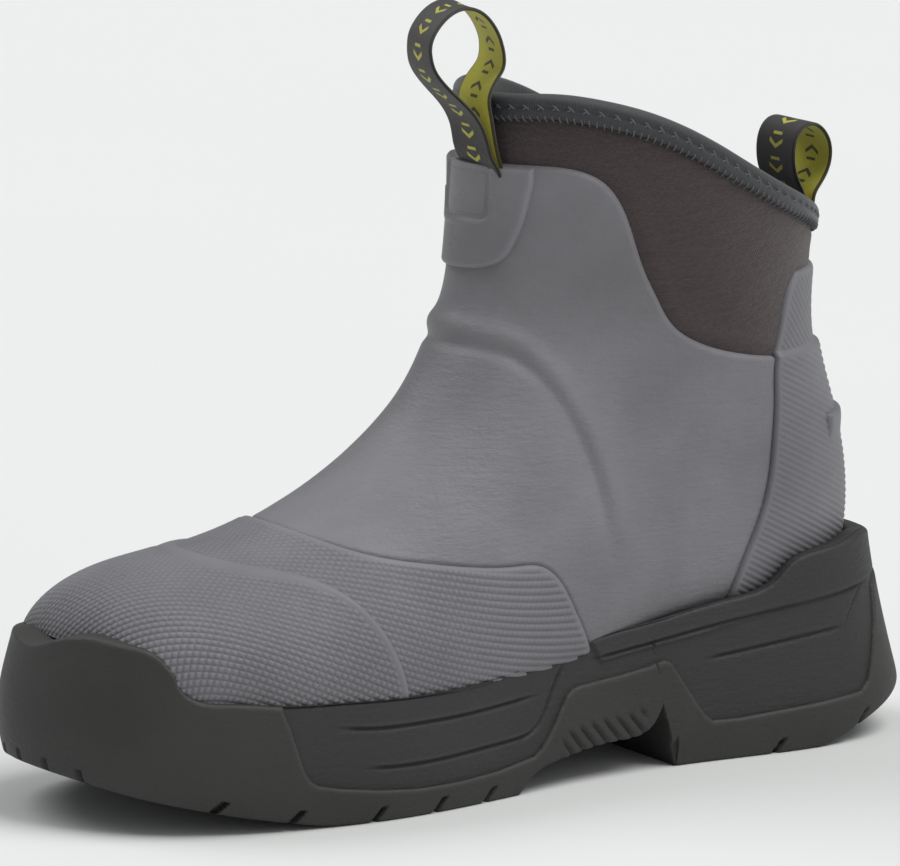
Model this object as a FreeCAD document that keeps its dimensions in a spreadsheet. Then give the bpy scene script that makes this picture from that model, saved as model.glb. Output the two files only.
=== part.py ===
"""Ankle-high pull-on deck boot, left foot: a rubber-over-neoprene bootie on a two-piece sole.

Boot coordinates, in millimetres: x runs from the heel's rearmost point towards the toe, +y is the outer
(lateral) side, z is the height above the ground. at() takes them into the part's frame, whose origin lies on the
ground under the heel, heel_datum in front of the rearmost point.
"""
import FreeCAD, Part
import math
import os

doc = FreeCAD.newDocument("deck_boot")
V = FreeCAD.Vector

# ---------------------------------------------------------------- driving dimensions (spreadsheet)
DIMENSIONS = {
    "heel_datum": 52.0,
    "sole_length": 308.0,
    "shell_wall": 2.0,
    "bootie_wall": 4.5,
    "lining_wall": 0.9,
    "stiffener_wall": 1.2,
    "bond_gap": 0.1,
    "guard_wall": 1.5,
    "toe_cap_wall": 2.1,
    "patch_wall": 1.8,
    "recess_depth": 0.8,
    "kick_rib_height": 1.6,
    "kick_rib_width": 60.0,
    "rib_height": 1.2,
    "binding_wall": 1.2,
    "binding_drop": 6.5,
    "webbing_width": 22.0,
    "webbing_wall": 1.1,
    "tail_length": 22.0,
    "groove_depth": 1.0,
    "tread_depth": 4.0,
    "insert_radius": 9.0,
    "shank_length": 118.0,
    "shank_width": 16.0,
    "shank_wall": 1.6,
    "board_wall": 1.2,
    "footbed_cover_wall": 1.0,
    "heel_pad_radius": 21.0,
    "heel_pad_wall": 2.5,
    "stitch_radius": 0.4,
    "far": 90.0,
}

# Stations of the upper. Each is one closed section in a plane that holds the y direction, given by its ridge
# point (x, z), its keel point (x, z), its lateral and medial half widths, the height share of its widest line,
# the squareness of its lower and upper halves, and its middle's y.
STATIONS = {
    "tip":    (292.0, 42.0, 284.0, 27.0, 26.0, 27.0, 0.45, 2.6, 2.2, -6.0),
    "toe":    (289.8, 56.5, 271.0, 26.0, 41.0, 41.0, 0.40, 2.8, 2.4, -5.0),
    "cap":    (278.7, 69.2, 255.0, 25.0, 48.0, 46.0, 0.38, 3.0, 2.3, -3.0),
    "box":    (254.1, 76.4, 234.0, 24.0, 52.0, 49.0, 0.36, 3.0, 2.1, -1.0),
    "ball":   (222.8, 84.5, 203.0, 24.0, 53.0, 49.0, 0.34, 3.0, 2.0, 0.0),
    "vamp":   (193.3, 101.1, 170.0, 25.0, 49.0, 46.0, 0.32, 3.0, 1.9, 1.0),
    "instep": (169.1, 124.3, 130.0, 29.0, 44.0, 42.0, 0.32, 2.8, 1.9, 1.0),
    "throat": (158.5, 144.7, 82.0, 34.0, 41.0, 40.0, 0.34, 2.4, 2.0, 0.0),
    "heel":   (155.6, 158.4, 26.0, 44.0, 38.0, 38.0, 0.36, 2.2, 2.0, 0.0),
    "ankle":  (153.7, 171.2, 16.7, 86.0, 39.0, 39.0, 0.42, 2.1, 2.0, 0.0),
    "shaft":  (151.5, 187.0, 27.3, 126.0, 43.0, 43.0, 0.45, 2.0, 2.0, 0.0),
    "collar": (149.8, 211.0, 26.9, 164.0, 48.0, 48.0, 0.48, 2.0, 2.0, 0.0),
    "above":  (148.8, 230.0, 26.9, 192.0, 49.0, 49.0, 0.48, 2.0, 2.0, 0.0),
}
STATION_FIELDS = ("ridge_x", "ridge_z", "keel_x", "keel_z", "lateral", "medial", "waist", "low_n", "up_n", "mid_y")
SECTION_POINTS = 20
SECTION_STEPS = 720
TIP_SHIFT = 0.7
TIP_DEPTH = -8.0
SOLE_HALF_WIDTH = 57.0
# Limits of the side-view regions, in the part's frame.
FLOOR = -12.0
CEILING = 100.0
ROOF = 240.0
FRONT = 290.0
BACK = -85.0

# Levels of the sole's side wall: height, setback of the heel and of the toe, and pull-in of the sides.
SOLE_LEVELS = {
    "ground": (0.0, 4.0, 9.0, 3.0),
    "bevel":  (12.0, -3.0, 3.0, 0.6),
    "flare":  (22.0, -1.5, 0.0, 0.0),
    "wall":   (38.0, 3.0, 0.0, 0.3),
    "lip":    (56.0, 7.0, 5.0, 1.5),
    "crown":  (76.0, 10.0, 9.0, 2.5),
}
LEVEL_FIELDS = ("height", "heel_in", "toe_in", "side_in")

sheet = doc.addObject("Spreadsheet::Sheet", "dimensions")


def fill_sheet():
    """One row per driving value: its name in column A, its number in column B under that name as alias."""
    rows = dict(DIMENSIONS)
    for name, values in STATIONS.items():
        rows.update({f"{name}_{field}": v for field, v in zip(STATION_FIELDS, values)})
    for name, values in SOLE_LEVELS.items():
        rows.update({f"{name}_{field}": v for field, v in zip(LEVEL_FIELDS, values)})
    for number, (alias, value) in enumerate(rows.items(), start=1):
        sheet.set(f"A{number}", alias)
        sheet.set(f"B{number}", repr(value))
        sheet.setAlias(f"B{number}", alias)


fill_sheet()
doc.recompute()


def dim(alias):
    return float(getattr(sheet, alias))


FAR = dim("far")
GAP = dim("bond_gap")

# ---------------------------------------------------------------- outlines


# The sole's outline seen from above, from the heel point along the lateral side to the toe and back.
SOLE_OUTLINE = [
    (0, 0), (5, 22), (22, 38), (50, 43), (90, 41), (130, 43), (170, 51), (205, 57), (240, 56), (268, 49),
    (289, 36), (303, 15), (308, -8), (302, -28), (288, -44), (262, -54), (232, -57), (200, -53), (165, -44),
    (125, -38), (85, -39), (50, -42), (22, -38), (5, -22),
]
# Side-view lines, as (x, z). The collar's top edge and the rubber shell's top edge run from back to front.
TOP_LINE = [(-20, 165), (10, 166), (29, 169.2), (39, 173.6), (57, 181.4), (76, 191), (95, 201.3), (112, 208.5),
            (126, 212.3), (138, 213.9), (147, 213.4), (175, 212)]
SHELL_LINE = [(-20, 127), (60, 127.3), (77, 130), (89, 134), (98, 140), (104, 149), (109, 158), (114, 170),
              (118.5, 180), (124, 187), (132, 191), (142, 192), (175, 192)]
# The rear edge of the toe cap and of the vamp guard run from the ridge down to the sole.
CAP_EDGE = [(256, 79.5), (250, 77.6), (237, 75.4), (226, 72.4), (218, 67), (212, 59), (207, 48), (204, 38), (202, 20)]
VAMP_EDGE = [(232, 88), (226, 86), (215, 81.3), (205, 78.2), (193, 76), (177, 73.5), (160, 72), (151, 71),
             (145.5, 67), (139, 56), (132, 44), (122, 28)]
HEEL_EDGE = [(50, 154), (53.4, 151.5), (55.7, 148.2), (57, 145), (58.2, 139.5), (59.4, 134), (60.4, 127.5), (60.3, 113.7),
             (60.7, 100.9), (62.1, 88.2), (65.3, 77.3), (68.6, 70), (72.6, 61), (75.6, 51), (79, 38)]
GUARD_TOP = 153.5
KICK_RIB_TOP = 105.0
KICK_RIB_FOOT = 96.5
# The sole unit's top edge from heel to toe, and its underside from toe to heel.
SOLE_TOP = [(-20, 62), (5, 63.6), (14, 65.2), (23, 66.4), (31, 65.3), (41, 64.2), (49, 63.4), (55.5, 61.2), (61, 56.6),
            (66, 53.9), (75, 52.1), (90, 50.1), (104.6, 47.8), (120, 46.2), (132, 44.6), (148.5, 41.3), (161, 39.5),
            (178, 38.1), (194, 37.7), (210, 38), (230.5, 38.9), (250, 39.8), (265, 41.4), (274, 42.8), (277.6, 45.9),
            (280, 52), (283, 56.2), (287.5, 58.2), (294, 59.7), (300, 60.6), (308, 57), (330, 54)]
TUCK_DEPTH = 7.0
FORE_UNDER = [(330, 30), (314, 22), (307.2, 18.5), (299.6, 15.8), (291.9, 13.1), (282.8, 10.6), (272.3, 8.1), (257.9, 5),
              (244, 2.4), (232, 0.5), (220, 0)]
ARCH_UNDER = [(160, 0), (156.4, 4.6), (152, 7.2), (144, 8.9), (132, 10.6), (120, 11.4), (112.5, 11.8), (107.6, 14),
              (104.9, 17.5), (103.2, 21)]
HEEL_UNDER = [(97.4, 0), (44, 0), (36, 2), (29, 4.8), (21, 7.9), (13, 10.8), (-6, 19.5), (-20, 27)]
# The window in the outsole through which the midsole shows, from the front top corner round to the rear.
WINDOW = [(249, 95), (248.5, 38), (246.4, 32.6), (243.9, 24.7), (241.9, 19.2), (239.8, 15.8), (237.1, 14), (230.4, 12.5),
          (216.5, 10.4), (201.8, 9), (186.1, 8.8), (169.6, 9.6), (161.3, 10.8), (155, 11.7), (152.6, 13.5), (149.8, 16.6),
          (146.9, 20.6), (144.4, 24.6), (141.8, 28.7), (139.3, 30.5), (136.4, 31.2), (120.3, 32.3), (108.7, 33.7),
          (103, 35), (100.4, 34.3), (97.5, 30.1), (93.7, 24.6), (90, 19.3), (86.9, 15.4), (84.3, 13.5), (75, 13.3),
          (60.7, 14.2), (45.6, 15.1), (28.2, 16.5), (24.9, 19.5), (22, 27), (18.8, 37), (17, 48), (10, 52), (-20, 54),
          (-20, 95)]
CORE = [(294, 95), (294, 36), (280, 26), (240, 18), (165, 16), (150, 17), (108, 19), (98, 17.5), (32, 17.5),
        (20, 24), (20, 95)]
CORE_INSET = 12.0
CORE_FOOT = 10.0
# Decorative grooves in the midsole's side.
GROOVES = [
    [(230, 31.1), (217, 29.6), (202, 29.2), (186.5, 29.1), (170, 29.6), (153, 30.6)],
    [(220.4, 17.6), (209.7, 16.9), (198.4, 16.7), (178.4, 17.4), (163, 18.1), (155.3, 19.6), (151.1, 23.4),
     (146.8, 31), (143.7, 36.2), (141.5, 40.3)],
    [(130, 38.7), (112.4, 40.3), (97.3, 42.2), (75.5, 45.2), (60.9, 46.8), (45.5, 48.3), (21.4, 50.7)],
    [(87.2, 33.5), (75.6, 34.6), (61, 36.1), (45.8, 37.5), (34.5, 38.4)],
    [(32.6, 40), (28.5, 45.4), (26, 48.4)],
]
GROOVE_WIDTH = 1.0
# Tread: cross grooves as (x at the spine, lift above the ground), shared by both sides.
TREAD_FORE = [(269, 6), (245, 2), (217.5, 0), (195, 0), (175, 0)]
TREAD_HEEL = [(61.5, 2), (29, 6)]
TREAD_WIDTH = 3.2
TREAD_SLANT = 18.0
# Smaller regions and paths, side view (x, z) unless noted.
SOLE_FLOOR = 20.0
PUFF_FROM = 200.0
PUFF_TO = 278.0
PUFF_EDGE = [(262, 84), (259, 76), (252, 60), (247, 44), (244, 24)]
COUNTER_EDGE = [(52, 100), (58, 88), (70, 70), (82, 56), (92, 44)]
COUNTER_TOP = 100.0
SHELL_BACK_TOP = 127.4
RIB_LINE = [(171, 141.6), (164, 142), (157.3, 141.1), (150.4, 139.4), (145, 136.7), (139.9, 132.5), (135.3, 127.1),
            (131.8, 121.3), (128.4, 114.3), (125.5, 106.6), (123.1, 98.5), (121.3, 90), (119.8, 81), (118.8, 72), (118.2, 60)]
RIB_WIDTH = 4.5
FRONT_TOP = 191.6
FRONT_LOOP_Y = 3.5
# Boxes round the collar's front and the heel start at these x and run this far.
FRONT_FROM = 120.0
FRONT_RUN = 60.0
HEEL_FROM = -10.0
HEEL_RUN = 70.0
GUARD_FROM = -30.0
GUARD_RUN = 160.0
REAR_TOP = 169.6
# Front-view outline of the tongue-shaped patch, lateral half from the top down (y, z).
PATCH_HALF = [(23.8, 191), (23.6, 187), (22.4, 181.6), (20.9, 175.2), (18.6, 168.8), (16.7, 164.3), (14.3, 161.6),
              (9.9, 160), (4, 159.6)]
BADGE_HALF = 12.6
BADGE_FOOT = 173.6
BADGE_TOP = 190.9
STITCH_DEPTHS = (2.0, 5.0)
TACK_HALF = 10.0
TACK_DROP = 4.6
TACK_HEIGHT = 2.0
WEBBING_POINTS = 36
FRONT_LOOP = [(152.1, 192.3), (152.2, 198), (153.8, 203.5), (157.8, 209.5), (162.8, 214.2), (167.3, 218.6), (170.3, 223),
              (171.3, 227.5), (170.8, 232), (168.3, 236), (164.3, 239.4), (158.8, 241.2), (152.8, 239.6), (148.8, 236),
              (145.8, 231), (144.6, 226), (145.2, 221.9), (147.2, 219.2), (149.5, 216.2), (151, 212.6), (151.1, 208),
              (150.9, 200), (150.8, 192.3)]
REAR_LOOP = [(29.45, 170.8), (28.7, 173.2), (26.7, 176), (24.2, 179.6), (22.7, 184), (22.9, 188.6), (25.2, 192.9),
             (29.2, 195.4), (33.2, 194.6), (35.9, 191), (36.7, 186), (36.2, 181), (34.4, 176.2), (32.85, 172.4)]
SHANK_AT = (122.0, 0.0, 25.0)
SHANK_TILT = 6.0
# Coloured tread pads, as (x, y) of their middles.
TREAD_INSERTS = [(84, 0), (182, 2), (208, 2), (232, 0)]
INSERT_SINK = 0.3
TREAD_SPINE = 14.0
BOARD_LINE = [(-20, 66), (20, 58), (50, 51.5), (82, 46), (130, 41), (170, 36.5), (203, 35), (240, 35), (300, 37)]
FOAM_LINE = [(-20, 66), (20, 59.5), (50, 54.5), (82, 49), (130, 44.5), (170, 40), (203, 38.4), (240, 38.4), (300, 40)]
CUSHION_AT = (60.0, 0.0, 49.2)
CUSHION_TILT = 9.8


def at(x, y, z):
    """A point of the boot, in the part's frame."""
    return V(x - dim("heel_datum"), y, z)


def side(points, shift_z=0.0, shift_x=0.0):
    """Side-view points put in the boot's middle plane."""
    return [at(x + shift_x, 0, z + shift_z) for x, z in points]


def spline(points):
    curve = Part.BSplineCurve()
    curve.interpolate(Points=points)
    return curve.toShape()


def polyline(points):
    return [Part.makeLine(a, b) for a, b in zip(points, points[1:])]


def feature(shape, label):
    """Puts a computed shape into the document under its own label."""
    made = doc.addObject("Part::Feature", label)
    made.Label = label
    made.Shape = shape
    return made


def slab(edges, label, half_width="dimensions.far"):
    """A side-view region, given by its edges in order, extruded to both sides of the middle plane."""
    outline = feature(Part.Face(Part.Wire(edges)), label + "_outline")
    made = doc.addObject("Part::Extrusion", label)
    made.Label = label
    made.Base = outline
    made.DirMode = "Custom"
    made.Dir = V(0, 1, 0)
    made.Solid = True
    made.Symmetric = True
    made.setExpression("LengthFwd", "2 * " + half_width)
    return made


def boolean(kind, base, tool, label):
    made = doc.addObject(kind, label)
    made.Base = base
    made.Tool = tool
    made.Label = label
    made.Refine = False
    return made


def cut(base, tool, label):
    return boolean("Part::Cut", base, tool, label)


def common(base, tool, label):
    return boolean("Part::Common", base, tool, label)


def fuse(shapes, label):
    made = doc.addObject("Part::MultiFuse", label)
    made.Shapes = shapes
    made.Label = label
    made.Refine = False
    return made


def box(label, x, y, z, length, width, height):
    """A box whose low corner is at (x, y, z) in boot coordinates."""
    made = doc.addObject("Part::Box", label)
    made.Label = label
    made.Length, made.Width, made.Height = length, width, height
    made.Placement.Base = at(x, y, z)
    return made


# ---------------------------------------------------------------- the upper's volume at any offset


def superellipse(angle, exponent):
    c, s = math.cos(angle), math.sin(angle)
    return math.copysign(abs(c) ** (2 / exponent), c), math.copysign(abs(s) ** (2 / exponent), s)


def evenly(dense, count):
    """count points at equal steps along a dense closed polyline, starting at its first point."""
    lengths = [0.0]
    for a, b in zip(dense, dense[1:]):
        lengths.append(lengths[-1] + a.distanceToPoint(b))
    points = []
    j = 0
    for i in range(count):
        target = lengths[-1] * i / count
        while lengths[j + 1] < target:
            j += 1
        share = (target - lengths[j]) / (lengths[j + 1] - lengths[j])
        points.append(dense[j] + (dense[j + 1] - dense[j]) * share)
    return points


def section_wire(name, offset):
    """One station's closed curve, grown by offset. The tip also moves along x with the offset."""
    ridge_x, ridge_z, keel_x, keel_z, lateral, medial, waist, low_n, up_n, mid_y = (
        dim(f"{name}_{field}") for field in STATION_FIELDS)
    up = V(ridge_x - keel_x, 0, ridge_z - keel_z)
    height = up.Length
    up.normalize()
    ahead = TIP_SHIFT * offset if name == "tip" else 0.0
    widest = at(keel_x + ahead, mid_y, keel_z) + up * (waist * height)
    rise, drop = (1 - waist) * height + offset, waist * height + offset
    if name == "tip":
        rise, drop = (full * math.exp(offset / full) for full in ((1 - waist) * height, waist * height))
    dense = []
    for i in range(SECTION_STEPS + 1):
        angle = math.pi / 2 - 2 * math.pi * i / SECTION_STEPS
        c, s = superellipse(angle, up_n if math.sin(angle) >= 0 else low_n)
        across = c * ((lateral if c > 0 else medial) + offset)
        dense.append(widest + V(0, across, 0) + up * (s * (rise if s > 0 else drop)))
    curve = Part.BSplineCurve()
    knots = [float(i) for i in range(SECTION_POINTS + 1)]
    curve.interpolate(Points=evenly(dense, SECTION_POINTS), PeriodicFlag=True, Parameters=knots)
    return Part.Wire([curve.toShape()])


volumes = {}


def last(offset):
    """The solid inside the upper's outer surface, grown by offset; a negative offset lies inside it.

    The deepest ones leave the tip station out, because nothing is left of it there.
    """
    key = round(offset, 3)
    if key not in volumes:
        wires = [section_wire(name, key) for name in STATIONS if name != "tip" or key > TIP_DEPTH]
        side_name = "out" if key >= 0 else "in"
        label = f"volume_{side_name}_{abs(key):.2f}".replace(".", "_")
        volumes[key] = feature(Part.makeLoft(wires, True, False), label)
    return volumes[key]


skins = {}


def skin(outer, inner):
    """The layer between two offsets of the upper's surface, closed by a rim at the top and at the tip."""
    key = (round(outer, 3), round(inner, 3))
    if key not in skins:
        rims, faces = [], []
        for offset in key:
            wires = [section_wire(name, offset) for name in STATIONS]
            faces += Part.makeLoft(wires, False, False).Faces
            rims.append((wires[0].Edges[0], wires[-1].Edges[0]))
        for outer_rim, inner_rim in zip(*rims):
            faces.append(Part.makeRuledSurface(outer_rim, inner_rim))
        sewn = Part.Compound(faces)
        sewn.sewShape()
        layer = Part.Solid(sewn.Shells[0])
        if layer.Volume < 0:
            layer.reverse()
        skins[key] = feature(layer, f"skin_{len(skins)}")
    return skins[key]


# ---------------------------------------------------------------- the sole's volume


def outline_wire(height, heel_in, toe_in, side_in, inset):
    """The sole's outline at one height, drawn in at the heel, toe and sides, then inset all round."""
    length = dim("sole_length")
    share = (length - heel_in - toe_in - 2 * inset) / length
    narrow = 1 - (side_in + inset) / SOLE_HALF_WIDTH
    points = [at(heel_in + inset + x * share, y * narrow, height) for x, y in SOLE_OUTLINE]
    knots = [0.0]
    for a, b in zip(SOLE_OUTLINE, SOLE_OUTLINE[1:] + SOLE_OUTLINE[:1]):
        knots.append(knots[-1] + math.dist(a, b))
    curve = Part.BSplineCurve()
    curve.interpolate(Points=points, PeriodicFlag=True, Parameters=knots)
    return Part.Wire([curve.toShape()])


def sole_volume(inset, label):
    wires = []
    for name in SOLE_LEVELS:
        wires.append(outline_wire(*(dim(f"{name}_{field}") for field in LEVEL_FIELDS), inset))
    return feature(Part.makeLoft(wires, True, False), label)


# ---------------------------------------------------------------- regions seen from the side


def under(line, label, shift=0.0):
    """Everything below a side-view line that runs from the heel to the toe."""
    points = side(line, shift)
    floor = [points[-1], V(FRONT, 0, points[-1].z), V(FRONT, 0, FLOOR), V(points[0].x, 0, FLOOR), points[0]]
    return slab([spline(points)] + polyline(floor), label)


def over(line, label, shift=0.0):
    """Everything above a side-view line that runs from the heel to the toe."""
    points = side(line, shift)
    roof = [points[-1], V(FRONT, 0, points[-1].z), V(FRONT, 0, ROOF), V(points[0].x, 0, ROOF), points[0]]
    return slab([spline(points)] + polyline(roof), label)


def ahead_of(line, label, shift=0.0):
    """Everything in front of a side-view line that runs from the ridge down to the sole."""
    points = side(line, 0.0, shift)
    rim = [points[-1], V(FRONT, 0, points[-1].z), V(FRONT, 0, CEILING), V(points[0].x + 2, 0, CEILING), points[0]]
    return slab([spline(points)] + polyline(rim), label)


def behind(line, top, label, shift=0.0):
    """Everything behind a side-view line, up to a level top."""
    points = side(line, 0.0, shift)
    points[0] = V(points[0].x, 0, top)
    rim = [points[-1], V(BACK, 0, points[-1].z), V(BACK, 0, top), points[0]]
    return slab([spline(points)] + polyline(rim), label)


def ribbon(line, width, label):
    """A strip of even width along a side-view line."""
    wire = Part.Wire([spline(side(line))])
    count = 40
    rim_a, rim_b = [], []
    for point, ahead in tangents(wire.Edges[0], count):
        normal = V(-ahead.z, 0, ahead.x) * (width / 2)
        rim_a.append(point + normal)
        rim_b.append(point - normal)
    rim_b.reverse()
    edges = [spline(rim_a)] + polyline([rim_a[-1], rim_b[0]]) + [spline(rim_b)] + polyline([rim_b[-1], rim_a[0]])
    return slab(edges, label)


def tangents(edge, count):
    """count points evenly along an edge, each with its unit direction."""
    found = []
    reach = edge.Length * (1 - 1e-9)
    for i in range(count):
        u = edge.getParameterByLength(reach * i / (count - 1))
        found.append((edge.valueAt(u), edge.tangentAt(u)))
    return found


below_fabric_top = under(TOP_LINE, "below_fabric_top", -(dim("binding_wall") + GAP))
below_shell_top = under(SHELL_LINE, "below_shell_top")
above_tuck = over(SOLE_TOP, "above_tuck", -(TUCK_DEPTH - GAP))

# ---------------------------------------------------------------- the layers of the upper
shell_in = -dim("shell_wall")
bootie_out = shell_in - GAP
bootie_in = bootie_out - dim("bootie_wall")
lining_out = bootie_in - GAP
lining_in = lining_out - dim("lining_wall")

# Stiffeners lie in shallow recesses of the bootie, right under the shell.
puff_zone = ahead_of(PUFF_EDGE, "puff_zone")
puff_pocket = ahead_of(PUFF_EDGE, "puff_pocket", -GAP)
counter_zone = behind(COUNTER_EDGE, COUNTER_TOP, "counter_zone")
counter_pocket = behind(COUNTER_EDGE, COUNTER_TOP + GAP, "counter_pocket", GAP)
stiffener_in = bootie_out - dim("stiffener_wall")
puff_room = box("puff_room", PUFF_FROM, -FAR, SOLE_FLOOR, PUFF_TO - PUFF_FROM, 2 * FAR, FAR)
puff_room_pocket = box("puff_room_pocket", PUFF_FROM, -FAR, SOLE_FLOOR, PUFF_TO - PUFF_FROM + GAP, 2 * FAR, FAR)
puff_full = common(skin(bootie_out, stiffener_in), puff_zone, "puff_full")
toe_puff = common(puff_full, puff_room, "toe_puff")
heel_counter = common(skin(bootie_out, stiffener_in), counter_zone, "heel_counter")
stiffener_pocket = skin(bootie_out + GAP, stiffener_in - GAP)
puff_recess_full = common(stiffener_pocket, puff_pocket, "puff_recess_full")
puff_recess = common(puff_recess_full, puff_room_pocket, "puff_recess")
counter_recess = common(stiffener_pocket, counter_pocket, "counter_recess")

# The tails of the rear loop are sewn flat on both faces of the bootie, under the binding.
web = dim("webbing_wall")
half_web = dim("webbing_width") / 2
tail = dim("tail_length")
rear_tail_zone = box("rear_tail_zone", HEEL_FROM, -half_web, REAR_TOP - tail, HEEL_RUN, 2 * half_web, tail)
rear_pocket_zone = box("rear_pocket_zone", HEEL_FROM, -half_web - GAP, REAR_TOP - tail - GAP, HEEL_RUN,
                       2 * (half_web + GAP), 2 * tail)
below_tail_top = under(TOP_LINE, "below_tail_top", -(dim("binding_wall") + 2 * GAP))
outer_tail_raw = common(skin(bootie_out, bootie_out - web), rear_tail_zone, "outer_tail_raw")
rear_tail_outer = common(outer_tail_raw, below_tail_top, "rear_tail_outer")
inner_tail_raw = common(skin(bootie_in + web, bootie_in), rear_tail_zone, "inner_tail_raw")
rear_tail_inner = common(inner_tail_raw, below_tail_top, "rear_tail_inner")
outer_pocket = common(skin(bootie_out + GAP, bootie_out - web - GAP), rear_pocket_zone, "outer_pocket")
inner_pocket = common(skin(bootie_in + web + GAP, bootie_in - GAP / 2), rear_pocket_zone, "inner_pocket")

bootie_raw = common(skin(bootie_out, bootie_in), below_fabric_top, "bootie_raw")
bootie_counter_cut = cut(bootie_raw, counter_recess, "bootie_counter_cut")
bootie_outer_cut = cut(bootie_counter_cut, outer_pocket, "bootie_outer_cut")
bootie_inner_cut = cut(bootie_outer_cut, inner_pocket, "bootie_inner_cut")
neoprene_bootie = cut(bootie_inner_cut, puff_recess, "neoprene_bootie")
lining = common(skin(lining_out, lining_in), below_fabric_top, "lining")

# The rubber shell carries a raised instep rib, and a notch at the front for the webbing's tails.
rib_zone = ribbon(RIB_LINE, RIB_WIDTH, "rib_zone")
rib = common(skin(dim("rib_height"), shell_in / 2), rib_zone, "rib")
shell_raw = common(skin(0.0, shell_in), below_shell_top, "shell_raw")
shell_ribbed = fuse([shell_raw, rib], "shell_ribbed")
front_notch = box("front_notch", FRONT_FROM, FRONT_LOOP_Y - half_web - GAP, FRONT_TOP - tail - GAP, FRONT_RUN,
                  2 * (half_web + GAP), 2 * tail)
rubber_shell = cut(shell_ribbed, front_notch, "rubber_shell")
front_tail_zone = box("front_tail_zone", FRONT_FROM, FRONT_LOOP_Y - half_web, FRONT_TOP - tail, FRONT_RUN,
                      2 * half_web, tail)
front_loop_tails = common(skin(-GAP / 2, shell_in), front_tail_zone, "front_loop_tails")

# ---------------------------------------------------------------- overlays on the shell
guard_out = GAP + dim("guard_wall")
cap_zone = ahead_of(CAP_EDGE, "cap_zone")
cap_pocket = ahead_of(CAP_EDGE, "cap_pocket", -3 * GAP)
vamp_zone = ahead_of(VAMP_EDGE, "vamp_zone")
heel_zone = behind(HEEL_EDGE, GUARD_TOP, "heel_zone")

cap_raw = common(skin(GAP + dim("toe_cap_wall"), GAP), cap_zone, "cap_raw")
toe_cap = common(cap_raw, above_tuck, "toe_cap")

vamp_raw = common(skin(guard_out, GAP), vamp_zone, "vamp_raw")
vamp_trimmed = cut(vamp_raw, cap_pocket, "vamp_trimmed")
vamp_overlay = common(vamp_trimmed, above_tuck, "vamp_overlay")

# Above the shell's top edge the heel overlay steps in and lies on the bootie.
lower_heel = box("lower_heel", GUARD_FROM, -FAR, SOLE_FLOOR, GUARD_RUN, 2 * FAR,
                 SHELL_BACK_TOP + dim("guard_wall") - SOLE_FLOOR)
heel_step = box("heel_step", GUARD_FROM, -FAR, SHELL_BACK_TOP + GAP, GUARD_RUN, 2 * FAR, dim("guard_wall") - GAP)
upper_heel = box("upper_heel", GUARD_FROM, -FAR, SHELL_BACK_TOP + GAP, GUARD_RUN, 2 * FAR, FRONT_RUN)
heel_low = common(skin(guard_out, GAP), lower_heel, "heel_low")
heel_mid = common(skin(guard_out, shell_in), heel_step, "heel_mid")
heel_high = common(skin(shell_in + dim("guard_wall"), shell_in), upper_heel, "heel_high")
heel_stack = fuse([heel_low, heel_mid, heel_high], "heel_stack")
heel_raw = common(heel_stack, heel_zone, "heel_raw")
heel_overlay = common(heel_raw, above_tuck, "heel_overlay")

rib_half = dim("kick_rib_width") / 2
kick_zone = box("kick_zone", GUARD_FROM, -rib_half, KICK_RIB_FOOT, FAR, 2 * rib_half, KICK_RIB_TOP - KICK_RIB_FOOT)
kick_out = guard_out + GAP + dim("kick_rib_height")
kick_rib = common(skin(kick_out, guard_out + GAP), kick_zone, "kick_rib")


def front_prism(points, label):
    """A front-view region (y, z), extruded along x through the front of the boot."""
    corners = [at(FRONT_FROM, y, z) for y, z in points]
    outline = feature(Part.Face(Part.Wire(polyline(corners + corners[:1]))), label + "_outline")
    made = doc.addObject("Part::Extrusion", label)
    made.Label = label
    made.Base = outline
    made.DirMode = "Custom"
    made.Dir = V(1, 0, 0)
    made.Solid = True
    made.LengthFwd = FRONT_RUN
    return made


patch_right = [(y, z) for y, z in PATCH_HALF]
patch_left = [(-y, z) for y, z in reversed(PATCH_HALF)]
patch_zone = front_prism(patch_right + patch_left, "patch_zone")
patch_out = GAP + dim("patch_wall")
badge_out = patch_out - dim("recess_depth")
badge_zone = box("badge_zone", FRONT_FROM, -BADGE_HALF, BADGE_FOOT, FRONT_RUN, 2 * BADGE_HALF, BADGE_TOP - BADGE_FOOT)
patch_window = box("patch_window", FRONT_FROM, -BADGE_HALF - GAP, BADGE_FOOT - GAP, FRONT_RUN, 2 * (BADGE_HALF + GAP),
                   BADGE_TOP - BADGE_FOOT + 2 * GAP)
patch_raw = common(skin(patch_out, GAP), patch_zone, "patch_raw")
front_patch = cut(patch_raw, patch_window, "front_patch")
front_badge = common(skin(badge_out, GAP), badge_zone, "front_badge")

# ---------------------------------------------------------------- collar binding and its stitching
binding_out = bootie_out + GAP + dim("binding_wall")
binding_inner_face = lining_in - GAP
binding_in = binding_inner_face - dim("binding_wall")
below_fold = under(TOP_LINE, "below_fold", -dim("binding_wall"))


def collar_ring(outer, inner, top, foot, label):
    """A ring round the collar between two offsets, from top to foot below the collar's edge."""
    lid = common(last(outer), under(TOP_LINE, label + "_top", -top), label + "_lid")
    disc = common(lid, over(TOP_LINE, label + "_foot", -foot), label + "_disc")
    return cut(disc, last(inner), label)


binding_block = collar_ring(binding_out, binding_in, 0.0, dim("binding_drop"), "binding_block")
binding_core = common(skin(bootie_out + GAP, binding_inner_face), below_fold, "binding_core")
binding_whole = cut(binding_block, binding_core, "binding_whole")
slot_outer = common(skin(bootie_out + GAP, bootie_out - web - GAP), rear_pocket_zone, "slot_outer")
slot_inner = common(skin(bootie_in + web + GAP, bootie_in - GAP), rear_pocket_zone, "slot_inner")
slots = fuse([slot_outer, slot_inner], "slots")
collar_binding = cut(binding_whole, slots, "collar_binding")

thread = 2 * dim("stitch_radius")


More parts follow.
